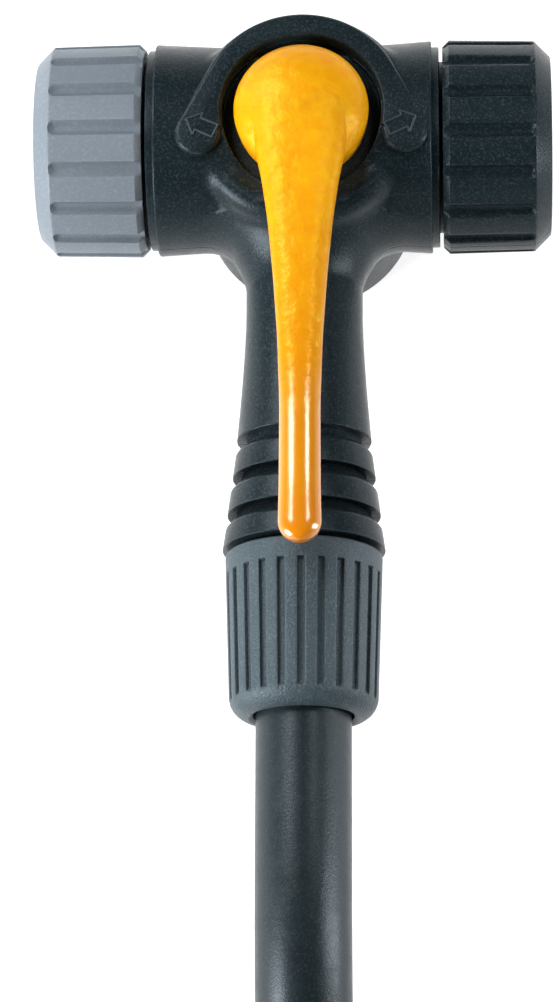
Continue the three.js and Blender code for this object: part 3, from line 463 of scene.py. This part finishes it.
COOL = (0.78, 0.9, 1.0)  # tint of the highlights on the dark plastics
# Each edge colour below is a painted highlight on that material's convex edges.
MATERIALS = {
    "black_nylon": moulded(
        "black_nylon", (0.007, 0.0145, 0.018), (0.0105, 0.0195, 0.024), 0.3, 3600.0, 0.00005,
        (0.036, 0.052, 0.062), COOL, seam=True, shine=0.2, edge=(0.07, 0.095, 0.11),
    ),
    # Painted light: a paler copy of the black nylon for the nut, for the light that falls on its
    # face.
    "nut_nylon_painted_light": moulded(
        "nut_nylon_painted_light", (0.036, 0.059, 0.070), (0.050, 0.077, 0.089), 0.45, 3600.0, 0.00016,
        (0.10, 0.12, 0.14), COOL, edge=(0.14, 0.17, 0.19), hollow_shade=0.3,
    ),
    "grey_nylon": moulded(
        "grey_nylon", (0.195, 0.235, 0.275), (0.215, 0.255, 0.30), 0.42, 2600.0, 0.00004,
        (0.25, 0.295, 0.345), (0.85, 0.95, 1.0), edge=(0.38, 0.43, 0.48),
    ),
    "lever_nylon": lever_plastic(),
    "acetal": moulded(
        "acetal", (0.72, 0.71, 0.66), (0.78, 0.77, 0.72), 0.35, 1500.0, 0.00003, (0.8, 0.79, 0.75)
    ),
    "seal_rubber": moulded(
        "seal_rubber", (0.010,) * 3, (0.016,) * 3, 0.5, 1800.0, 0.00004, (0.03,) * 3
    ),
    "gasket_rubber": moulded(
        "gasket_rubber", (0.24, 0.03, 0.02), (0.3, 0.045, 0.03), 0.6, 1600.0, 0.00005,
        (0.34, 0.06, 0.04),
    ),
    "hose_rubber": moulded(
        "hose_rubber", (0.007, 0.0125, 0.015), (0.010, 0.017, 0.020), 0.38, 3000.0, 0.00003,
        (0.02, 0.03, 0.036), COOL,
    ),
    "steel": polished("steel", (0.5, 0.5, 0.51), (0.66, 0.66, 0.67), 0.3),
    "brass": polished("brass", (0.5, 0.3, 0.08), (0.72, 0.47, 0.16), 0.25),
}
for part in frame["record"]["subparts"]:
    cad = frame["nodes"][part["node"]]
    cad.data.materials.clear()
    cad.data.materials.append(MATERIALS[part["material_slot"]])


# ---------------------------------------------------------------- hose and its pump-end fitting
def hose():
    curve = bpy.data.curves.new("hose", "CURVE")
    curve.dimensions = "3D"
    line = curve.splines.new("POLY")
    line.points.add(len(hose_line) - 1)
    for point, place in zip(line.points, hose_line / 1000):
        point.co = (*place, 1)
    curve.bevel_depth = HOSE_RADIUS / 1000
    curve.bevel_resolution = 12
    curve.use_fill_caps = True
    line.use_smooth = True
    curve.materials.append(MATERIALS["hose_rubber"])
    piece = linked("hose", curve)
    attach(piece, "head")
    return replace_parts(piece, "hose_run", "hose_coil", "hose_tail")


def thread(pitch, depth, start, stop, core):
    """Radius of a screw thread with flat crests, fading in and out at its ends. What lies within
    the core stays plain."""

    def shape(s, angles, r):
        if r <= core:
            return r
        turn = (s / pitch + angles / (2 * math.pi)) % 1.0
        ridge = np.clip(1.9 - 4.83 * np.abs(turn - 0.5), 0, 1)
        fade = np.clip(min(s - start, stop - s) / pitch, 0, 1)
        return r - depth * fade * (1 - ridge)

    return shape


def finely(rows, start, stop):
    """Rows with extra ones between start and stop, for a thread to show."""
    spacing = 0.14
    out = []
    for a, b in zip(rows, rows[1:] + [rows[-1]]):
        out.append(a)
        length = b[0] - a[0]
        if start <= a[0] < b[0] <= stop and length > spacing:
            steps = int(length / spacing)
            out += [
                (a[0] + length * k / steps, a[1] + (b[1] - a[1]) * k / steps)
                for k in range(1, steps)
            ]
    return out


def fitting_place():
    """Frame of the fitting: x along the hose's end, z up."""
    place = np.eye(4)
    x, z = np.array((*tail_way[:2], 0)), np.array((0, 0, 1))
    place[:3, 0], place[:3, 1], place[:3, 2] = x, np.cross(z, x), z
    place[:3, 3] = fitting_origin
    return place


def pump_end():
    """Crimped ferrule, stud with a hexagon, a thread and a bore, and the stud's washer."""
    place = fitting_place()
    face = FACE_GAP + TAIL_LENGTH
    start = face - 12.0
    rows = [(start, 5.8), (start, 6.5, 0.2), (start + 0.9, 6.75, 0.3)]
    for k in range(3):
        at = start + 1.9 + 3.4 * k
        rows += [(at, 6.88, 0.4), (at + 1.2, 6.88, 0.4)]
        rows += [(at + 1.7, 6.35, 0.3), (at + 2.6, 6.35, 0.3)]
    rows += [(face - 0.1, 6.75, 0.3), (face - 0.1, 5.8)]
    ferrule = add_mesh(
        "ferrule", *lathe(rounded(rows, closed=True), "+X", 96, closed=True), "head", "steel",
        ["pump_end_ferrule"], place=place,
    )
    hex_start, hex_end = face + 0.1, face + 5.1
    hex_flat, hex_corner = 6.5, 7.45
    bore, shank, thread_radius = 1.8, 2.8, 4.75

    def hexagon(s, angles, r):
        side = (angles + math.pi / 6) % (math.pi / 3) - math.pi / 6
        if not hex_start - 0.01 <= s <= hex_end + 0.01 or r < 6:
            return r
        return np.minimum(r, hex_flat / np.cos(side))

    shank_start, overlap = hex_start - 9, hex_end - 0.5
    rows = [
        (shank_start, bore), (shank_start, shank, 0.1), (hex_start, shank, 0), (hex_start, 6.35),
        (hex_start + 0.65, hex_corner), (hex_end - 0.65, hex_corner), (hex_end, 6.35),
        (hex_end, thread_radius, 0),
    ]
    head_rows = rounded(rows, 0.12) + [(hex_end, bore), (shank_start, bore)]
    stud_rows = [
        (overlap, bore), (overlap, thread_radius), (hex_end + 7.4, thread_radius),
        (hex_end + 8.0, 4.1), (hex_end + 8.0, 2.1), (hex_end + 7.7, bore), (overlap, bore),
    ]
    threads = thread(1.34, 0.45, hex_end + 0.2, hex_end + 8.3, 4.0)
    stud = add_mesh(
        "stud",
        *merged(
            lathe(head_rows, "+X", 144, hexagon),
            lathe(finely(stud_rows, hex_end - 1, hex_end + 8.1), "+X", 96, threads),
        ),
        "head", "brass", ["pump_end_stud"], crease=25, place=place,
    )
    at = hex_end + 0.1
    rows = [(at, 4.9), (at, 6.3), (at + 1.2, 6.3), (at + 1.2, 4.9)]
    washer = add_mesh(
        "stud_washer", *lathe(rounded(rows, 0.3, closed=True), "+X", 96, closed=True), "head",
        "seal_rubber", ["pump_end_washer"], place=place,
    )
    return [ferrule, stud, washer]


hose_piece = hose()
pump_end()


# ---------------------------------------------------------------- caps
def cap(name, end):
    """Screw cap with grooves that end as balls, its mouth and the hollow for the thread."""
    start, stop, mouth = end["cap_start"], end["cap_end"], end["mouth"]
    bevel, bevel_radius, end_radius, hollow = stop - 2.0, 13.0, 11.0, 10.9
    groove_end = bevel + 0.2 - GROOVE_RADIUS
    reach = CAP_RADIUS - 0.1 + GROOVE_RADIUS - GROOVE_DEPTH

    def grooves(s, angles, r):
        if r < end_radius - 0.05:
            return r
        pitch = 2 * math.pi / GROOVE_COUNT
        # the angles run from up towards the way across; the grooves are counted towards -Y
        world = -angles * end["way"]
        off = (world - math.radians(end["turn"]) + pitch / 2) % pitch - pitch / 2
        past = max(0.0, s - groove_end)
        room = GROOVE_RADIUS**2 - (reach * np.sin(off)) ** 2 - past**2
        floor = reach * np.cos(off) - np.sqrt(np.maximum(room, 0))
        return np.where(room > 0, np.minimum(r, floor), r)

    rows = [
        (start, 12.4), (start + 0.8, CAP_RADIUS), (bevel, bevel_radius, 0.35),
        (stop, end_radius, 0.35), (stop, mouth + 0.7, 0.15), (stop - 0.7, mouth),
        (stop - CAP_WALL, mouth, 0.1), (stop - CAP_WALL, hollow, 0), (start + 0.6, hollow, 0),
        (start, 11.3),
    ]
    rows = rounded(rows, 0.18, closed=True)
    dense = []  # with extra rows where the grooves end
    for a, b in zip(rows, rows[1:] + rows[:1]):
        dense.append(a)
        if a[1] > 12.5 and b[1] > hollow and b[0] - a[0] > 0.3:
            near = np.arange(groove_end - 0.05, stop - 1.7, 0.11)
            between = [s for s in near if a[0] < s < b[0]]
            dense += [(s, a[1] + (b[1] - a[1]) * (s - a[0]) / (b[0] - a[0])) for s in between]
    points, faces = lathe(dense, end["axis"], 384, grooves, closed=True)
    body, slot = name + "_cap_screw", name + "_nylon"
    return add_mesh(name + "_cap_shell", points, faces, body, slot, [name + "_cap"], 28)


for name, end in ENDS.items():
    cap(name, end)


# ---------------------------------------------------------------- nut
def nut():
    """Tapering nut with flutes and a quarter-round end, hollow for the thread and the hose."""
    corner_radius, hose_hole = 2.6, 6.05
    corner = NUT_END - corner_radius
    low, high = NUT_START + 2.6, NUT_END - 1.9  # ends of the flutes

    def radius_at(s):
        return NUT_RADIUS - 0.55 * (s - NUT_START) / (corner - NUT_START)

    def flutes(s, angles, r):
        if r < 8 or not low - 0.2 < s < high + 0.2:
            return r
        pitch = 2 * math.pi / FLUTE_COUNT
        off = np.abs((angles + pitch / 2) % pitch - pitch / 2) * 9.2
        side = np.clip((0.5 - off) / 0.16, 0, 1)
        ends = np.clip((s - low) / 0.2, 0, 1) * np.clip((high - s) / 0.5, 0, 1)
        return r - FLUTE_DEPTH * side * ends

    rows = [(NUT_START, 7.6, 0), (NUT_START, NUT_RADIUS, 0.5)]
    rows += [(s, radius_at(s), 0) for s in (low - 0.01, low + 0.2, low + 1)]
    rows += [(s, radius_at(s), 0) for s in np.linspace(low + 3, corner, 5)]
    centre = radius_at(corner) - corner_radius
    for k in range(1, 13):
        a = math.radians(90 - 78 * k / 12)
        rows.append((corner + corner_radius * math.cos(a), centre + corner_radius * math.sin(a), 0))
    rows += [(NUT_END, 6.55, 0.2), (NUT_END - 0.3, hose_hole, 0.1), (NUT_END - 2.8, hose_hole, 0)]
    rows += [(NUT_END - 2.8, 7.1, 0), (NUT_END - 7.8, 7.6, 0)]
    points, faces = lathe(rounded(rows, closed=True), "-Y", 480, flutes, closed=True)
    # The nut takes the paler copy of the black nylon, as painted light.
    return add_mesh(
        "nut_shell", points, faces, "nut_screw", "black_nylon", ["hose_nut"], 28, painted_light_material="nut_nylon_painted_light"
    )


nut()


# ---------------------------------------------------------------- head body
def surface_nets(field, low, high, cell):
    """Points, quads and normals of the zero surface of field between low and high. Each cell of
    the grid that the surface crosses gets one point, which is then moved onto the surface."""
    axes = [np.arange(a, b + cell, cell) for a, b in zip(low, high)]
    grid = field(*np.meshgrid(*axes, indexing="ij", sparse=True))
    inside = grid < 0
    shape = np.array(grid.shape) - 1
    total = np.zeros((*shape, 3), np.float32)
    hits = np.zeros(shape, np.float32)
    ends = [slice(0, -1), slice(1, None)]
    for axis in range(3):
        others = [k for k in range(3) if k != axis]
        for u in (0, 1):
            for v in (0, 1):
                index = [None] * 3
                index[others[0]], index[others[1]] = ends[u], ends[v]
                index[axis] = ends[0]
                a = grid[tuple(index)]
                index[axis] = ends[1]
                b = grid[tuple(index)]
                crossing = (a < 0) != (b < 0)
                with np.errstate(divide="ignore", invalid="ignore"):
                    t = np.where(crossing, a / (a - b), 0)
                total[..., axis] += t
                total[..., others[0]] += crossing * u
                total[..., others[1]] += crossing * v
                hits += crossing
    used = hits > 0
    number = np.full(shape, -1, np.int64)
    number[used] = np.arange(used.sum())
    cells = np.argwhere(used)
    points = (cells + total[used] / hits[used][:, None]) * cell + np.array(low)
    faces = []
    for axis in range(3):
        u, v = (axis + 1) % 3, (axis + 2) % 3
        a = np.take(inside, np.arange(shape[axis]), axis=axis)
        b = np.take(inside, np.arange(1, shape[axis] + 1), axis=axis)
        for way in (0, 1):
            edges = np.argwhere((a & ~b) if way == 0 else (~a & b))
            keep = (edges[:, u] > 0) & (edges[:, v] > 0)
            keep &= (edges[:, u] < shape[u]) & (edges[:, v] < shape[v])
            edges = edges[keep]
            quad = []
            for du, dv in ((-1, -1), (0, -1), (0, 0), (-1, 0)):
                at = edges.copy()
                at[:, u] += du
                at[:, v] += dv
                quad.append(number[at[:, 0], at[:, 1], at[:, 2]])
            quad = np.stack(quad, 1)
            faces.append(quad if way == 0 else quad[:, ::-1])
    faces = np.concatenate(faces)

    def slope(p):
        step = 0.02
        out = np.empty_like(p)
        for k in range(3):
            d = np.zeros(3)
            d[k] = step
            out[:, k] = (field(*(p + d).T) - field(*(p - d).T)) / (2 * step)
        return out

    for _ in range(3):
        g = slope(points)
        f = field(*points.T)[:, None]
        move = -f * g / np.maximum((g * g).sum(1, keepdims=True), 0.2)
        points = points + np.clip(move, -cell * 0.6, cell * 0.6)
    normals = slope(points)
    normals /= np.maximum(np.linalg.norm(normals, axis=1, keepdims=True), 1e-6)
    return points, faces, normals


def blend(a, b, k):
    """Union of two fields with a fillet of about k."""
    h = np.clip(0.5 + 0.5 * (b - a) / k, 0, 1)
    return b + (a - b) * h - k * h * (1 - h)


def carve(a, b, k):
    """Field a with b cut out and the edge eased by about k."""
    return -blend(-a, b, k)


def drill(a, b):
    """Field a with b cut out and a sharp edge, for hollows inside."""
    return np.maximum(a, -b)


def stem_radius(s):
    waist = 7.15
    flare = waist + 4.45 * (1 - np.clip((s - 11) / 8, 0, 1)) ** 1.55
    skirt = waist + 1.05 * np.clip((s - 22.5) / 16.0, 0, 1) ** 1.45
    return np.where(s < 21, flare, skirt)


def head_field(x, y, z):
    """Distance field of the housing: below zero inside it."""
    s = -y
    from_barrel, from_stem = np.sqrt(y * y + z * z), np.sqrt(x * x + z * z)
    from_hub = np.sqrt(x * x + y * y)
    lip = np.where(x < 0, ENDS["grey"]["lip"], ENDS["black"]["lip"])
    barrel = from_barrel - (12.4 + 0.75 * np.minimum(1, np.abs(x) / lip) ** 1.6)
    barrel = carve(barrel, lip - np.abs(x), 0.3)
    slope = (stem_radius(s + 0.1) - stem_radius(s - 0.1)) / 0.2
    stem = (from_stem - stem_radius(s)) / np.sqrt(1 + slope * slope)
    stem = np.maximum(stem, 4 - s)
    # front boss: a wall under a rolled rim, filled inside the rim
    rim_radius, rim_height = 11.8, 8.9
    wall = np.maximum(from_hub - 13.9, -z - 1.5)
    rim = np.sqrt((from_hub - rim_radius) ** 2 + (z - rim_height) ** 2) - 2.1
    fill = np.maximum(from_hub - rim_radius, z - 9.3)
    boss = np.where(z < rim_height, wall, np.minimum(rim, fill))
    # rear boss with a rounded edge
    rear_radius, edge = 13.3, 1.0
    edge_start = edge - AXIS_HEIGHT
    rear = np.maximum(from_hub - rear_radius, z)
    corner = np.hypot(
        np.maximum(from_hub - (rear_radius - edge), 0), np.maximum(edge_start - z, 0)
    ) - edge
    rear = np.where(z < edge_start, np.maximum(rear, corner), rear)
    rear = np.maximum(rear, -AXIS_HEIGHT - z)
    body = blend(barrel, stem, 2.2)
    body = blend(body, rear, 1.2)
    body = blend(body, boss, 0.9)
    body = carve(body, STEM_CUT - s, 0.2)
    body = drill(body, np.maximum(from_barrel - 8.0, np.abs(x) - 30))  # for the shuttle
    body = carve(body, np.maximum(from_hub - 9.7, 9.98 - z), 0.15)  # for the lever's hub
    body = drill(body, np.maximum(from_hub - 6.6, -z))  # for the cam
    body = drill(body, np.maximum(from_hub - 4.1, z))  # for the shaft's lower end
    body = drill(body, np.maximum(from_hub - 6.4, z + 16.5))  # for the screw and its washer
    body = carve(body, np.maximum(from_hub - 9.15, z + 20.2), 0.15)  # for the rear cover
    return drill(body, np.maximum(from_stem - 3.0, y))  # for the air


def head_shell():
    cell = 0.3
    points, faces, normals = surface_nets(
        head_field, (-18.9, -39.3, -22.1), (16.5, 14.5, 13.9), cell
    )
    mesh = bpy.data.meshes.new("head_shell")
    world = (points + np.array((0, 0, AXIS_HEIGHT))) / 1000
    mesh.from_pydata(world.tolist(), [], faces.tolist())
    mesh.polygons.foreach_set("use_smooth", [True] * len(mesh.polygons))
    mesh.normals_split_custom_set_from_vertices(normals.tolist())
    mesh.materials.append(MATERIALS["black_nylon"])
    piece = linked("head_shell", mesh)
    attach(piece, "head")
    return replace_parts(piece, "head_body")


def stem_rings():
    """The stem's three grooves and four rings, and the threaded neck that the nut turns on."""
    ends, radii = [STEM_CUT, 43.2, 47.9, STEM_END], [8.2, 8.7, 9.3, 9.85]
    bore, seat, neck_end = 3.0, 4.6, 60.5
    rows = [(STEM_CUT - 0.9, bore, 0), (STEM_CUT - 0.9, 7.0, 0)]
    for i in range(3):
        floor, following = radii[i] - 1.2, radii[i + 1]
        rows += [(ends[i] - 0.2, floor, 0), (ends[i] + 1.05, floor, 0.12)]
        rows += [(ends[i] + 1.15, following - 0.95, 0.1), (ends[i] + 1.8, following - 0.38, 0.5)]
        rows += [(ends[i + 1], following, 0.16)]
        if i < 2:
            rows += [(ends[i + 1], radii[i + 1] - 1.2, 0.1)]
    rows += [(STEM_END, 7.4, 0), (neck_end - 0.4, 7.4, 0.2), (neck_end, 7.0, 0.1)]
    rows += [(neck_end, seat, 0), (46.0, seat, 0), (46.0, bore, 0)]
    profile = rounded(rows, 0.12, closed=True)
    threads = thread(THREAD_PITCH, 0.3, STEM_END + 0.6, neck_end - 0.1, 6.9)
    rows = finely(profile, STEM_END + 0.2, neck_end - 0.2)
    points, faces = lathe(rows, "-Y", 144, threads, closed=True)
    return add_mesh("stem_rings", points, faces, "head", "black_nylon", crease=30)


def neck(name, end):
    """Collar and threaded neck of the barrel, which the cap turns on."""
    lip, collar, stop = end["lip"], end["collar"], end["gasket_end"]
    bore, radius = 8.0, 10.6
    rows = [(lip - 1.5, bore, 0), (lip - 1.5, 12.4, 0), (collar, 12.4, 0.15), (collar, radius, 0.1)]
    rows += [(stop - 0.5, radius, 0), (stop, 10.2, 0.1), (stop, 8.3, 0.1), (stop - 0.3, bore, 0)]
    profile = rounded(rows, 0.12, closed=True)
    threads = thread(THREAD_PITCH, 0.45, collar + 0.5, stop + 0.2, 10.1)
    rows = finely(profile, collar + 0.1, stop - 0.3)
    points, faces = lathe(rows, end["axis"], 160, threads, closed=True)
    return add_mesh(name + "_neck", points, faces, "head", "black_nylon", crease=30)


head_shell()
stem_rings()
for name, end in ENDS.items():
    neck(name, end)


# ---------------------------------------------------------------- direction plate with its arrows
PLATE_BASE, PLATE_TOP = 11.1, 13.0


def plate_outline(outer, inner):
    """Points of the horseshoe plate's edge, its outer and inner edges moved inwards."""
    outer_radius, inner_radius, lobe_radius = 12.7, 9.8, 2.9
    lobe_x, lobe_y = 12.6, -2.65
    lobe = math.atan2(lobe_y, lobe_x)
    tangent = lobe + math.acos((outer_radius - lobe_radius) / math.hypot(lobe_x, lobe_y))

    def arc(x, y, radius, a, b, count):
        return [
            (x + radius * math.cos(t), y + radius * math.sin(t)) for t in np.linspace(a, b, count)
        ]

    edge = lobe_radius - outer
    points = arc(0, 0, outer_radius - outer, tangent, math.pi - tangent, 72)
    points += arc(-lobe_x, lobe_y, edge, math.pi - tangent, 2 * math.pi - lobe, 64)[1:]
    points += arc(0, 0, inner_radius + inner, math.pi - lobe, lobe, 110)
    points += arc(lobe_x, lobe_y, edge, lobe - math.pi, tangent, 64)[:-1]
    return points


def plate():
    """The plate, its upper edges rounded."""
    height, outer, inner = 0.7, 0.7, 0.35  # of the rounding
    levels = [(PLATE_BASE, 0.0)]
    levels += [
        (PLATE_TOP - height * (1 - math.sin(a)), 1 - math.cos(a))
        for a in np.linspace(0.0, math.pi / 2, 8)
    ]
    rings = [(z, plate_outline(outer * part, inner * part)) for z, part in levels]
    points = [(x, y, z) for z, ring in rings for x, y in ring]
    faces = stacked(len(rings), len(rings[0][1]))
    return add_mesh("plate", points, faces, "head", "black_nylon", ["direction_plate"], crease=50)


def arrow(name, way):
    """Raised outline of the arrow that shows which way the lever turns."""
    start, along = np.array((10.45, -2.75)), np.array((0.907, 0.42))
    across = np.array((-along[1], along[0]))
    shape = [
        (0, 0.85), (2.3, 0.85), (2.3, 1.5), (3.8, 0),
        (2.3, -1.5), (2.3, -0.85), (0, -0.85), (0, 0.85),
    ]
    half_width, height, overlap, sides = 0.17, 0.24, 0.05, 8
    line = [start + s * along + t * across for s, t in shape]
    line = [Vector((x * way, y, PLATE_TOP - 0.04)) for x, y in line]
    points, faces = [], []
    for a, b in zip(line, line[1:]):
        run = (b - a).normalized()
        side, first = Vector((-run.y, run.x, 0)), len(points)
        for end in (a - run * overlap, b + run * overlap):
            for k in range(sides + 1):
                t = math.pi * k / sides
                rise = Vector((0, 0, height * math.sin(t)))
                points.append(end + side * half_width * math.cos(t) + rise)
        second = first + sides + 1
        for k in range(sides):
            faces.append((first + k, first + k + 1, second + k + 1, second + k))
        faces += [tuple(range(second - 1, first - 1, -1)), tuple(range(second, second + sides + 1))]
        faces.append((first, second, second + sides, second - 1))
    return add_mesh(name, points, faces, "head", "black_nylon", crease=50)


plate()
arrow("left_arrow", -1)
arrow("right_arrow", 1)


# ---------------------------------------------------------------- lever
def lever():
    """Tapering arm with a rounded tip, and the domed hub."""
    table = [  # distance from the hub's axis, half width, top, underside
        (0.0, 5.9, 17.7, 12.9), (3.0, 5.7, 17.65, 13.3), (7.0, 5.35, 17.5, 13.8),
        (9.0, 4.8, 17.4, 13.8), (14.8, 3.95, 17.1, 13.7), (22.0, 3.25, 16.7, 13.5),
        (30.0, 2.7, 16.2, 13.3), (38.0, 2.45, 15.75, 13.1), (48.5, 2.5, 15.6, 12.9),
        (52.6, 2.6, 15.4, 12.8),
    ]
    tip, tip_radius = 52.6, 2.6
    distances, *sizes = np.array(table).T
    fine = np.arange(-3, 60, 0.2)
    smooth = [
        np.convolve(np.interp(fine, distances, row), np.ones(16) / 16, "same") for row in sizes
    ]
    end = tip + tip_radius * np.sin(np.linspace(0.12, 1.5707, 14))
    stations = np.concatenate([np.linspace(0, tip, 80), end])
    points, count = [], 48
    for d in stations:
        half, top, under = (np.interp(min(d, tip), fine, row) for row in smooth)
        if d > tip:
            shrink = math.sqrt(max(0.0, 1 - ((d - tip) / tip_radius) ** 2))
            half = max(half * shrink, 0.02)
            middle, rise = (top + under) / 2, (top - under) / 2 * (0.4 + 0.6 * shrink)
            top, under = middle + rise, middle - rise
        middle = under + 0.4 * (top - under)
        oval = min(max((d - 26) / 11, 0), 1)  # the section is boxy at the hub, oval at the tip
        for i in range(count):
            a = 2 * math.pi * (i + 0.5) / count
            c, s = math.cos(a), math.sin(a)
            x = half * math.copysign(abs(c) ** (0.72 + 0.28 * oval), c)
            if s > 0:
                z = middle + (top - middle) * s ** (0.8 + 0.2 * oval)
            else:
                z = middle + (under - middle) * abs(s) ** 0.4
            points.append((x, -d, z))
    arm = outward(np.array(points), stacked(len(stations), count))
    base, rim, rim_radius, rise = 10.1, 12.9, 8.2, 4.9
    dome = [(base, 0), (base, rim_radius - 0.2, 0.2), (rim, rim_radius, 0)]
    dome += [
        (rim + rise * math.sin(a), rim_radius * math.cos(a), 0)
        for a in np.linspace(0.06, math.pi / 2, 28)[:-1]
    ]
    hub = lathe(rounded(dome + [(rim + rise, 0)], 0.1), "+Z", 144)
    points, faces = merged(arm, hub)
    return add_mesh("lever_shell", points, faces, "lever_set", "lever_nylon", ["lever"], crease=38)


lever()


# ---------------------------------------------------------------- inner pieces seen in the mouths
def valve_end(name, end):
    """Washer, which travels with the cap, and gasket, on a mesh of its own, which the shuttle
    presses shorter in the pump but which keeps its shape here.
    """
    washer_start, washer_end, mouth = end["washer_start"], end["washer_end"], end["mouth"]
    rows = [(washer_start, mouth), (washer_start, 10.2), (washer_end, 10.2), (washer_end, mouth)]
    points, faces = lathe(rounded(rows, 0.15, closed=True), end["axis"], 96, closed=True)
    body = name + "_cap_carrier"
    add_mesh(name + "_washer_ring", points, faces, body, "acetal", [name + "_washer"])
    bore, stop, radius = end["bore"], end["gasket_end"], 7.7
    start = stop - GASKET_LENGTH
    rows = [(start, bore, 0.3), (start, radius - 0.5), (start + 0.5, radius), (stop, radius, 0.3)]
    rows += [(stop, bore + 0.6, 0.2), (stop - 0.6, bore, 0.3)]
    for k in range(3):
        at = stop - 1.6 - 1.6 * k
        rows += [(at, bore, 0.15), (at - 0.35, bore + 0.3, 0.15), (at - 0.7, bore, 0.15)]
    points, faces = lathe(rounded(rows, 0.2, closed=True), end["axis"], 96, closed=True)
    ring = add_mesh(
        name + "_gasket_ring", points, faces, "head", "gasket_rubber", [name + "_gasket"]
    )
    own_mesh(ring)


for name, end in ENDS.items():
    valve_end(name, end)


# ---------------------------------------------------------------- rear cover, floor, light
def rear_cover():
    """Disc on which the object lies, with a shallow turned groove."""
    base = -AXIS_HEIGHT
    rows = [(base + 1.2, 0), (base + 1.2, 9.0, 0.1), (base, 9.0, 0.35), (base, 6.6, 0.1)]
    rows += [(base + 0.25, 6.3, 0.1), (base + 0.25, 5.9, 0.1), (base, 5.6, 0.1), (base, 0)]
    points, faces = lathe(rounded(rows, 0.15), "+Z", 96)
    return add_mesh("rear_cover_disc", points, faces, "head", "black_nylon", ["rear_cover"])


rear_cover()


PALE, DIM = 0.8, 0.035  # strengths of the background, at which 1 is white


def stage():
    """Pale floor just under the object, which keeps the object's shadow."""
    n = Surface("floor")
    n.set(Base_Color=(0.6, 0.6, 0.6, 1), Roughness=0.8, Specular_IOR_Level=0.1)
    n.set(Emission_Color=(1, 1, 1, 1))
    n.feed("Emission Strength", n.math("MULTIPLY", n.background_rays(), PALE))
    size, level = 3.0, -0.0002
    corners = [(-size, -size), (size, -size), (size, size), (-size, size)]
    mesh = bpy.data.meshes.new("floor")
    mesh.from_pydata([(x, y, level) for x, y in corners], [], [(0, 1, 2, 3)])
    mesh.materials.append(n.material)
    linked("floor", mesh)


def surround():
    """World: a pale cove up to about 20 degrees above the floor, under a dim ceiling."""
    world = bpy.data.worlds.new("world")
    world.use_nodes = True
    n = Nodes(world.node_tree)
    seen, sky = n.background_rays(), n.add("ShaderNodeSeparateXYZ")
    n.link(n.add("ShaderNodeTexCoord").outputs["Generated"], sky.inputs[0])
    cove = n.add("ShaderNodeMapRange", From_Min=0.28, From_Max=0.42, To_Min=PALE, To_Max=DIM)
    n.link(sky.outputs["Z"], cove.inputs["Value"])
    shown = n.math("MULTIPLY", seen, cove.outputs["Result"])
    background = n.tree.nodes["Background"]
    background.inputs["Color"].default_value = (1, 1, 1, 1)
    n.link(n.math("MAXIMUM", shown, DIM), background.inputs["Strength"])
    bpy.context.scene.world = world


LAMP_TARGET = (0, -0.02, 0.03)
LAMPS = {  # place, width, height and watts of each softbox
    "key": ((-0.42, 0.34, 0.5), 0.35, 0.35, 3.0),
    "left_strip": ((-0.5, -0.32, 0.2), 0.2, 0.35, 4.4),
    "right_strip": ((0.6, -0.1, 0.2), 0.12, 0.5, 2.5),
    "left_spot": ((-0.27, 0.14, 0.52), 0.16, 0.12, 0.55),
    "right_spot": ((0.25, 0.14, 0.52), 0.12, 0.12, 0.5),
}


def softbox(name, place, width, height, power):
    data = bpy.data.lights.new(name, "AREA")
    data.shape, data.size, data.size_y, data.energy = "RECTANGLE", width, height, power
    light = linked(name, data)
    light.location = place
    light.rotation_mode = "QUATERNION"
    way = Vector(LAMP_TARGET) - Vector(place)
    light.rotation_quaternion = way.to_track_quat("-Z", "Y")


stage()
for name, values in LAMPS.items():
    softbox(name, *values)
surround()
bpy.context.scene.view_settings.view_transform = "Standard"
